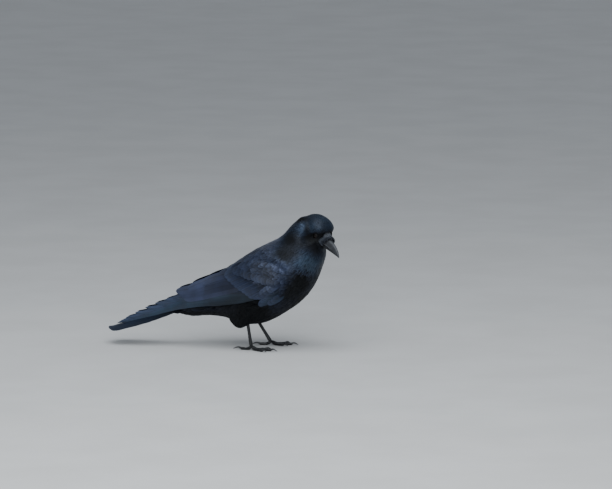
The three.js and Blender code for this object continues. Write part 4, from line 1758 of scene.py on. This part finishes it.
def bristle_tree(blade: Object, material: Material) -> Tree:
    """Build the Geometry Nodes tree that puts a bristle on each point of a cloud.

    Args:
        blade: One bristle, along its own X.
        material: The bristles' finish.

    Returns:
        The tree, whose inputs are the cloud and the bristles' Length and Width.
    """
    tree = bpy.data.node_groups.new("bristles", "GeometryNodeTree")
    for key, kind in (("Geometry", "Geometry"), ("Length", "Float"), ("Width", "Float")):
        tree.interface.new_socket(key, in_out="INPUT", socket_type="NodeSocket" + kind)
    tree.interface.new_socket("Geometry", in_out="OUTPUT", socket_type="NodeSocketGeometry")
    build = Nodes(tree)
    given = build.add("NodeGroupInput").outputs
    taken = build.add("NodeGroupOutput").inputs
    turn = build.add("GeometryNodeInputNamedAttribute", {"Name": "turn"}, data_type="FLOAT_VECTOR").outputs[0]
    size = build.add("GeometryNodeInputNamedAttribute", {"Name": "size"}, data_type="FLOAT").outputs[0]
    long = build.times(size, given["Length"])
    scale = build.add("ShaderNodeCombineXYZ", {0: long, 1: given["Width"], 2: given["Width"]}).outputs[0]
    source = build.add("GeometryNodeObjectInfo", {"Object": blade})
    rotation = build.add("FunctionNodeEulerToRotation", {0: turn}).outputs[0]
    placed = build.add("GeometryNodeInstanceOnPoints", {
        "Points": build.add("GeometryNodeMeshToPoints", {"Mesh": given["Geometry"]}).outputs[0],
        "Instance": source.outputs["Geometry"], "Rotation": rotation, "Scale": scale,
    })
    whole = build.add("GeometryNodeRealizeInstances", {"Geometry": placed.outputs[0]})
    finished = build.add("GeometryNodeSetMaterial", {"Geometry": whole.outputs[0], "Material": material})
    build.feed(taken["Geometry"], finished.outputs[0])
    return tree


@dataclass
class Bristles:
    """Stiff narrow feathers over the bill's base and round the gape, which point forwards."""

    count: int = 2200
    length: float = 9.6
    width: float = 0.45
    first: float = 26.4  # the head's x of the rearmost and foremost roots
    last: float = 31.8
    further_back: float = 5.5  # how much further back the lowest roots are than the top ones
    spread: tuple = (1.5, 1.9)  # how far round the bill they grow, in radians, at first and at last
    axis_height: float = -4.0
    root_depth: float = 0.7
    stand: float = 2.5
    fuller: float = 1.3  # how much more the bristles at the sides stand out
    scatter: float = 0.5
    reach: float = 40.0

    def blade(self) -> Object:
        """One bristle of unit length and width, flat and curved down at its end."""
        grid = VaneGrid(5, 3, 0.3)
        across, along, under, faces = grid.lattice()
        wide = 0.5 * (1 - along**2.5) + 0.04
        arch = 1.1 * np.sin(math.pi * along)
        above = arch - 0.25 * across**2 - under * grid.thickness
        points = np.stack([along, across * wide, above], 1)
        mesh = bpy.data.meshes.new("bristle")
        mesh.from_pydata(points.tolist(), [], faces)
        store(mesh, "along", along)
        store(mesh, "across", across)
        mesh.shade_smooth()
        return linked("bristle", mesh)

    def on_face(self, tree: BVHTree, ahead: Array, out: Array) -> Array:
        """Find the outer form of face and bill at distances ahead, out from an axis along the bill.

        Args:
            tree: The solids to search.
            ahead: The x of each place, in the head's frame.
            out: The way out from the axis.

        Returns:
            Places in the head's frame.
        """
        found = []
        for x, way in zip(ahead, out):
            axis = np.array([x, 0.0, self.axis_height - 0.12 * max(0.0, x - self.last)])
            start = HEAD.row(axis + self.reach * way)
            hit = tree.ray_cast(start.tolist(), (HEAD.turn @ -way).tolist(), self.reach)[0]
            found.append(axis + 5.0 * way if hit is None else HEAD.local(np.array(hit)))
        return np.array(found)

    def cloud(self, rng: Chance) -> Object:
        """Scatter the bristles' roots over the bill's base, each with its turn and size.

        Args:
            rng: The source of chance.

        Returns:
            An object of loose points.
        """
        tree = node_tree("head", "bill_upper", "bill_lower")
        share = rng.uniform(0, 1, self.count)
        x = self.first + (self.last - self.first) * share
        angle = rng.uniform(-1, 1, self.count) * np.interp(share, [0, 1], self.spread)
        x = x - self.further_back * (angle / self.spread[1]) ** 2
        size = rng.uniform(0.75, 1.1, self.count)
        out = np.stack([np.zeros(self.count), np.sin(angle), np.cos(angle)], 1)
        root = self.on_face(tree, x, out) - self.root_depth * out
        stand = self.stand + self.fuller * np.sin(np.clip(np.abs(angle), 0, 1.6)) ** 2
        tip = self.on_face(tree, x + 0.95 * self.length * size, out) + stand[:, None] * out
        forward = tip - root + rng.normal(0, self.scatter, out.shape)
        places = HEAD.row(root)
        bearings = []
        for way, normal in zip(unit(forward) @ HEAD.turn.T, unit(out) @ HEAD.turn.T):
            across = unit(np.cross(normal, way))
            lift = np.cross(way, across)
            bearings.append(Matrix((way, across, lift)).transposed().to_euler())
        mesh = bpy.data.meshes.new("bristle_roots")
        mesh.from_pydata((places * MM).tolist(), [], [])
        turn = mesh.attributes.new("turn", "FLOAT_VECTOR", "POINT")
        turn.data.foreach_set("vector", np.array(bearings).ravel())
        spots = unwrap(places)
        for key, numbers in (("size", size), ("root_u", spots[:, 0]), ("root_v", spots[:, 1])):
            store(mesh, key, numbers)
        return linked("bristle_roots", mesh)

    def build(self, material: Material) -> None:
        """Grow the bristles and make them one plain mesh."""
        rng = np.random.default_rng(SEED + 5)
        blade = self.blade()
        cloud = self.cloud(rng)
        tree = bristle_tree(blade, material)
        grow = cloud.modifiers.new("grow", "NODES")
        grow.node_group = tree
        inputs = {item.name: item.identifier for item in tree.interface.items_tree if item.in_out == "INPUT"}
        grow[inputs["Length"]] = self.length * MM
        grow[inputs["Width"]] = self.width * MM
        bpy.context.view_layer.update()
        grown = bpy.data.meshes.new_from_object(cloud.evaluated_get(bpy.context.evaluated_depsgraph_get()))
        read = {}
        for key in ("along", "across", "root_u", "root_v"):
            read[key] = np.empty(len(grown.vertices), np.float32)
            grown.attributes[key].data.foreach_get("value", read[key])
        points = np.empty(len(grown.vertices) * 3)
        grown.vertices.foreach_get("co", points)
        across, along = read["across"], read["along"]
        spots = np.stack([read["root_u"] + 0.0015 * across, read["root_v"] + 0.003 * along], 1)
        size = len(along)
        # The bristles get a high glossiness and some teal, so that they take the painted sheen.
        shape = Shape(
            points.reshape(-1, 3) / MM,
            [tuple(face.vertices) for face in grown.polygons],
            {"Vane": np.stack([across * 0.5 + 0.5, along], 1), "OFBake": spots},
            {"tone": rng.uniform(-1, 1, size), "gloss": np.full(size, 1.3), "teal": np.full(size, 0.4)},
        )
        shape.piece("nasal_bristles", material, "plumage", outward=True)
        for spare in (cloud, blade):
            bpy.data.objects.remove(spare)


# ---------- Legs ----------


@dataclass(frozen=True)
class Toe:
    """One toe: its bearing in degrees outwards from ahead, its length, girth, claw and number of pads."""

    number: int
    bearing: float
    length: float
    radius: float
    claw: float
    pads: int


TOES = (
    Toe(1, 174, 21, 2.7, 17, 2),
    Toe(2, 27, 27, 2.5, 12, 2),
    Toe(3, -1, 38, 2.7, 13, 3),
    Toe(4, -26, 29, 2.4, 11, 4),
)


@dataclass
class Leg(Sided):
    """One scaly leg: tarsus, four toes and their claws."""

    side: int
    heel: Point
    ankle: Point
    turn: float
    sole: float = 0.5
    scutes: int = 10

    @staticmethod
    def rod(path: Array, radius: Array, around: int) -> tuple[Array, list]:
        """Skin a rod, flat where it would reach below the floor.

        Args:
            path: The centre line.
            radius: A radius for each ring, or for each point of each ring.
            around: Points in a ring, from the upper or front side round.

        Returns:
            The points and the faces.
        """
        ahead = unit(np.gradient(path, axis=0))
        side = unit(np.cross(np.array([0.0, 1.0, 0.0]), ahead))
        side = unit(np.cross(ahead, np.cross(side, ahead)))
        across = np.cross(ahead, side)
        angle = turns(around)
        radius = np.broadcast_to(radius.reshape(len(path), -1), (len(path), around))
        ring = side[:, None] * np.cos(angle)[:, None] + across[:, None] * np.sin(angle)[:, None]
        rings = path[:, None, :] + ring * radius[:, :, None]
        rings[:, :, 2] = np.maximum(rings[:, :, 2], 0.0)
        return loft(rings)

    @staticmethod
    def blunt(t: Array) -> Array:
        """Round off a rod's two ends."""
        return np.sqrt(np.maximum(1 - np.abs(2 * t - 1) ** 12, 0.003))

    @staticmethod
    def plates(t: Array, count: float, around: int, facing: float, depth: float) -> Array:
        """A saw-edged swelling like overlapping plates on one side of a rod.

        Args:
            t: Places along the rod.
            count: How many plates there are.
            around: Points in a ring.
            facing: The angle round the rod that the plates face.
            depth: How far a plate's free edge stands out.

        Returns:
            What to add to the radius at each point.
        """
        angle = turns(around)
        front = ease(np.cos(angle - facing), -0.1, 0.45)
        saw = (t * count) % 1.0
        edge = saw**1.5 * (1 - ease(saw, 0.88, 1.0))
        return depth * edge[:, None] * front[None, :]

    def tarsus(self) -> Shape:
        """The tarsus with overlapping scutes in front."""
        t = np.linspace(0, 1, 110)
        heel, ankle = np.array(self.heel), np.array(self.ankle)
        end = ankle + np.array([0.0, 0.0, -3.0])
        path = heel + (end - heel) * t[:, None]
        radius = 2.45 + 1.5 * (1 - t) ** 6 + 1.1 * t**6
        angle = turns(28)
        rear_keel = 0.35 * ease(-np.cos(angle), 0.4, 1.0)
        radius = radius[:, None] + self.plates(t, self.scutes, 28, 0.0, 0.42) + rear_keel[None, :]
        points, faces = self.rod(path, radius * self.blunt(t)[:, None], 28)
        return Shape(points, faces, {}, {"pale": np.full(len(points), 0.3)})

    def heading(self, toe: Toe) -> Array:
        """Which way a toe points."""
        angle = math.radians(self.turn - self.side * toe.bearing)
        return np.array([math.cos(angle), math.sin(angle), 0.0])

    def line(self, toe: Toe, start: float, length: float, stations: tuple) -> list[Array]:
        """Places along a toe or its claw.

        Args:
            toe: The toe.
            start: How far out the first place is.
            length: How much further out the last place is.
            stations: For each place, the share of that length and the height.

        Returns:
            The places.
        """
        base = np.array([self.ankle[0], self.ankle[1], 0.0])
        way = self.heading(toe)
        return [base + way * (start + length * share) + np.array([0, 0, high]) for share, high in stations]

    def toe(self, toe: Toe) -> Shape:
        """A toe with scutes above and pads below, flat where it stands."""
        t = np.linspace(0, 1, 90)
        low = toe.radius - self.sole
        stations = (0, self.ankle[2] - 1), (0.2, low + 1.6), (0.45, low + 0.1), (0.75, low), (1.0, low)
        path = through(self.line(toe, 0.0, toe.length, stations), t)
        swell = 1.0 - 0.12 * t - 0.07 * np.cos(math.tau * toe.pads * t)
        radius = toe.radius * swell[:, None] * np.ones(24)[None, :]
        radius = radius + self.plates(1 - t, toe.length / 2.6, 24, math.pi, 0.3) - 0.1
        points, faces = self.rod(path, radius * self.blunt(t)[:, None], 24)
        return Shape(points, faces, {}, {"pale": np.full(len(points), 0.3)})

    def claw(self, toe: Toe) -> Shape:
        """A curved, tapering claw."""
        t = np.linspace(0, 1, 30)
        stations = (0, toe.radius), (0.4, toe.radius + 1.5), (0.75, toe.radius), (1.0, 0.9)
        path = through(self.line(toe, toe.length - 2.5, toe.claw, stations), t)
        radius = 2.0 + (0.45 - 2.0) * t**0.9
        points, faces = self.rod(path, radius * self.blunt(0.5 + 0.5 * t), 16)
        return Shape(points, faces, {}, {"pale": np.concatenate([np.repeat(t, 16), [0.0, 1.0]])})

    def build(self, skin: Material, horn: Material) -> None:
        """Build the leg in place of its solids."""
        shank = self.tarsus().piece(f"shank_{self.name}", skin, "foot", outward=True)
        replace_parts(shank, f"tarsus_{self.name}")
        for toe in TOES:
            made = self.toe(toe).piece(f"digit_{self.name}_{toe.number}", skin, "foot", outward=True)
            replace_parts(made, f"toe_{self.name}_{toe.number}")
            made = self.claw(toe).piece(f"nail_{self.name}_{toe.number}", horn, "claw", outward=True)
            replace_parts(made, f"claw_{self.name}_{toe.number}")


# ---------- The bird ----------


@dataclass
class Crow:
    """Puts the skin, coat, wings, tail, head and legs together."""

    shift: float = -6.83
    eye_clearing: float = 5.3
    eye_ahead: float = 9.0
    bill_from: float = 29.0
    bill_half: float = 14.0
    bill_low: float = -22.0
    bill_top: float = 9.0
    back_half: float = 9.0
    deeper_under_wing: float = 1.6
    panel: tuple = (
        (106, 124), (60, 127), (8, 133), (-20, 134), (-110, 104), (-112, 62), (-80, 70), (-40, 76),
        (0, 80), (34, 86), (62, 88), (68, 85), (88, 89), (99, 98), (108, 112),
    )

    def finishes(self) -> dict[str, Material]:
        """Make every material once."""
        feathers = plumage_group()
        grain = grain_group()
        kinds = {
            "body": Plumage("plumage_body"),
            "head": Plumage("plumage_head", barbs=20.0, margin_share=0.25),
            # The bristles' light grey sheen colour and tint paint the lit grey of the bristle pad over the
            # bill's base.
            "bristles": Plumage(
                "plumage_bristles", barbs=20.0, margin_share=0.3, gloss=(0.16, 0.17, 0.2),
                tint=(0.14, 0.165, 0.19), coat=0.8, metal=0.2,
            ),
            "coverts": Plumage("plumage_coverts", barbs=80.0),
            # The panel's and primaries' brighter blue sheen colours paint the sky's reflection on the folded
            # wing, over its real glossiness.
            "panel": Plumage(
                "plumage_panel", barbs=280.0, margin_share=0.2, gloss=(0.042, 0.056, 0.125), coat=1.0,
                coat_roughness=0.45,
            ),
            "primaries": Plumage(
                "plumage_primaries", barbs=320.0, margin_share=0.25, gloss=(0.028, 0.044, 0.098), coat=1.0,
                coat_roughness=0.47,
            ),
            "tail": Plumage("plumage_tail", barbs=280.0, margin_share=0.2),
        }
        made = {key: finish.material(feathers) for key, finish in kinds.items()}
        horns = {
            # The bill's pale colour is mostly that of its painted highlights; the rest is a faint random
            # mottle.
            "bill": Horn(
                "bill_horn", (0.022, 0.023, 0.026), (0.2, 0.215, 0.235), 0.44, 220.0, 6.0, coat=0.12,
            ),
            "claw": Horn(
                "claw_horn", (0.010, 0.010, 0.011), (0.05, 0.05, 0.052), 0.35, 300.0,
                roughness=0.3, coat=0.2,
            ),
            "scale": Horn(
                "leg_scales", (0.006, 0.006, 0.007), (0.03, 0.031, 0.034), 0.25, 900.0, 2.0, 0.6,
                specular=0.35,
            ),
            "lid": Horn(
                "lid_skin", (0.0035, 0.0035, 0.004), (0.016, 0.0165, 0.018), 0.3, 1500.0,
                cells=0.6, roughness=0.6, specular=0.15,
            ),
            "skin": Horn(
                "bare_skin", (0.006, 0.0065, 0.008), (0.01, 0.011, 0.014), 0.3, 400.0,
                cells=0.3, roughness=0.8, specular=0.1,
            ),
        }
        made.update({key: finish.material(grain) for key, finish in horns.items()})
        made["eye"] = WetEye().material()
        return made

    def bare(self, places: Array) -> Array:
        """Say which places grow no feather: at the bill and eyes, and under the flight feathers."""
        local = HEAD.local(places)
        result = np.zeros(len(places), bool)
        for side in (RIGHT, LEFT):
            ahead, gap = Eye(side).before(places)
            result |= (gap < self.eye_clearing) & (ahead > 0) & (ahead < self.eye_ahead)
        level = (local[:, 2] > self.bill_low) & (local[:, 2] < self.bill_top)
        result |= level & (np.abs(local[:, 1]) < self.bill_half) & (local[:, 0] > self.bill_from)
        near = np.array([self.nearest_node(place) for place in places])
        result |= near == "bill"
        return result | self.under_wing(places, near)

    def under_wing(self, places: Array, near: Array) -> Array:
        """Say which places lie under the wings' large feathers.

        Args:
            places: Points in the row frame.
            near: The kind of solid nearest to each.

        Returns:
            True where they do.
        """
        flank = (near == "wing") | (np.abs(places[:, 1]) > self.back_half)
        return flank & inside(places[:, [0, 2]], np.array(self.panel))

    def nearest_node(self, place: Array) -> str:
        """Name the kind of solid nearest to a place."""
        return min(self.trees, key=lambda kind: self.trees[kind].find_nearest(place.tolist())[3])

    def build(self) -> None:
        """Build the whole bird."""
        finishes = self.finishes()
        self.trees = {
            "wing": node_tree("wing_right", "wing_left"),
            "bill": node_tree("bill_upper", "bill_lower"),
            "body": node_tree("trunk", "neck", "head", "thigh_right", "thigh_left"),
        }
        chart = Chart()
        skin_form = Skin()
        skin = self.sunk(skin_form, skin_form.outline(), chart)
        guide = self.sunk(skin_form, skin_form.outline("tail"), chart)
        body = Shape(skin.points, skin.faces.tolist(), {}, {"pale": np.full(len(skin.points), 0.2)})
        made = body.piece("skin", finishes["skin"], "plumage", outward=True)
        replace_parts(made, *skin_form.flesh)
        LOG.info("skin of %d triangles", len(skin.faces))
        self.coat(skin, guide, chart, finishes)
        for side in (RIGHT, LEFT):
            FoldedWing(side).build(finishes)
            Eye(side).build(finishes["eye"], finishes["lid"])
        Tail().build(finishes["tail"])
        UPPER_MANDIBLE.build(finishes["bill"])
        LOWER_MANDIBLE.build(finishes["bill"])
        Bristles().build(finishes["bristles"])
        right = Leg(RIGHT, (47 + self.shift, -31, 62), (56 + self.shift, -33, 8), -7)
        left = Leg(LEFT, (44 + self.shift, 31, 58), (77 + self.shift, 33, 8), 6)
        for leg in (right, left):
            leg.build(finishes["scale"], finishes["claw"])

    def sunk(self, form: Skin, outline: Surface, chart: Chart) -> Surface:
        """Lower an outer surface by the coat's depth, and further under the wings' large feathers."""
        values, _ = chart.read(outline.points)
        near = np.array([self.nearest_node(place) for place in outline.points])
        covered = self.under_wing(outline.points, near)
        return form.lowered(outline, values["depth"] + values["sink"] + self.deeper_under_wing * covered)

    def coat(self, skin: Surface, guide: Surface, chart: Chart, finishes: dict[str, Material]) -> None:
        """Grow the small feathers, one piece for each tract."""
        rng = np.random.default_rng(SEED)
        coat = Coat(skin, guide, chart)
        roots = coat.roots(self.bare, rng)
        values, tracts = chart.read(roots)
        for number, tract in enumerate(Tract):
            mine = roots[tracts == number]
            small = values["spacing"][tracts == number].mean() < coat.small
            shaggy = values["loose"][tracts == number].mean() > coat.shaggy
            grid = coat.head_grid if small else coat.loose_grid if shaggy else coat.body_grid
            shape = coat.feathers(mine, grid, rng)
            shape.piece(f"feathers_{tract.value}", finishes["head" if small else "body"], "plumage")
            LOG.info("%s: %d feathers, %d triangles", tract.value, len(mine), 2 * len(shape.faces))


def inside(places: Array, outline: Array) -> Array:
    """Say which flat places lie inside a closed outline."""
    result = np.zeros(len(places), bool)
    for a, b in zip(outline, np.roll(outline, -1, axis=0)):
        crosses = (a[1] > places[:, 1]) != (b[1] > places[:, 1])
        run = (b[0] - a[0]) * (places[:, 1] - a[1]) / ((b[1] - a[1]) or 1e-9) + a[0]
        result ^= crosses & (places[:, 0] < run)
    return result


# ---------- Studio ----------


@dataclass
class Studio:
    """A pale floor, two soft lights, a pale world and the camera."""

    target: Point = (140.2, 0.0, 185.5)
    azimuth: float = 12.0
    elevation: float = 8.0
    distance: float = 8930.0
    lens: float = 300.0
    floor_half: float = 15.0
    floor_colours: tuple[Colour, Colour] = ((0.61, 0.595, 0.57), (0.65, 0.635, 0.61))
    world_colour: Colour = (0.78, 0.86, 0.97)
    world_strength: float = 0.42
    light_colour: Colour = (0.88, 0.94, 1.0)
    aim: Point = (0.05, 0.0, 0.12)

    def camera(self) -> None:
        """Set up the camera."""
        azimuth, elevation = math.radians(self.azimuth), math.radians(self.elevation)
        flat = math.cos(elevation)
        way = Vector((math.sin(azimuth) * flat, -math.cos(azimuth) * flat, math.sin(elevation)))
        camera = bpy.data.cameras.new("camera")
        camera.lens = self.lens
        camera.sensor_width = 36.0
        camera.clip_end = 100.0
        holder = linked("camera", camera)
        holder.location = Vector(self.target) * MM + way * self.distance * MM
        holder.rotation_euler = way.to_track_quat("Z", "Y").to_euler()
        bpy.context.scene.camera = holder

    def floor(self) -> None:
        """Lay the plain pale floor."""
        half = self.floor_half
        mesh = bpy.data.meshes.new("floor")
        corners = [(-half, -half, 0), (half, -half, 0), (half, half, 0), (-half, half, 0)]
        mesh.from_pydata(corners, [], [(0, 1, 2, 3)])
        material, build, shader = blank("floor_pale")
        speckle = build.ramp(build.noise(6.0, 4.0), 0.3, 0.7)
        build.feed(shader.inputs["Base Color"], build.mix(speckle, *self.floor_colours))
        build.feed(shader.inputs["Roughness"], 0.9)
        mesh.materials.append(material)
        floor = linked("floor", mesh)

    def lights(self) -> None:
        """Hang a broad soft light overhead with a weaker one in front, in a pale world."""
        world = bpy.data.worlds.new("world")
        world.use_nodes = True
        background = world.node_tree.nodes["Background"]
        background.inputs[0].default_value = (*self.world_colour, 1.0)
        background.inputs[1].default_value = self.world_strength
        bpy.context.scene.world = world
        for name, place, size, power in (
            ("overhead", (0.1, -1.1, 2.3), 2.4, 49.0),
            ("front", (0.6, -2.8, 1.3), 1.6, 43.0),
        ):
            light = bpy.data.lights.new(name, "AREA")
            light.size = size
            light.energy = power
            light.color = self.light_colour
            holder = linked(name, light)
            holder.location = place
            way = Vector(place) - Vector(self.aim)
            holder.rotation_euler = way.to_track_quat("Z", "Y").to_euler()

    def build(self) -> None:
        """Set up the whole studio."""
        self.camera()
        self.floor()
        self.lights()


def main() -> None:
    """Build the studio and the bird."""
    logging.basicConfig(level=logging.INFO, format="%(message)s")
    Studio().build()
    Crow().build()


if __name__ == "__main__":
    main()
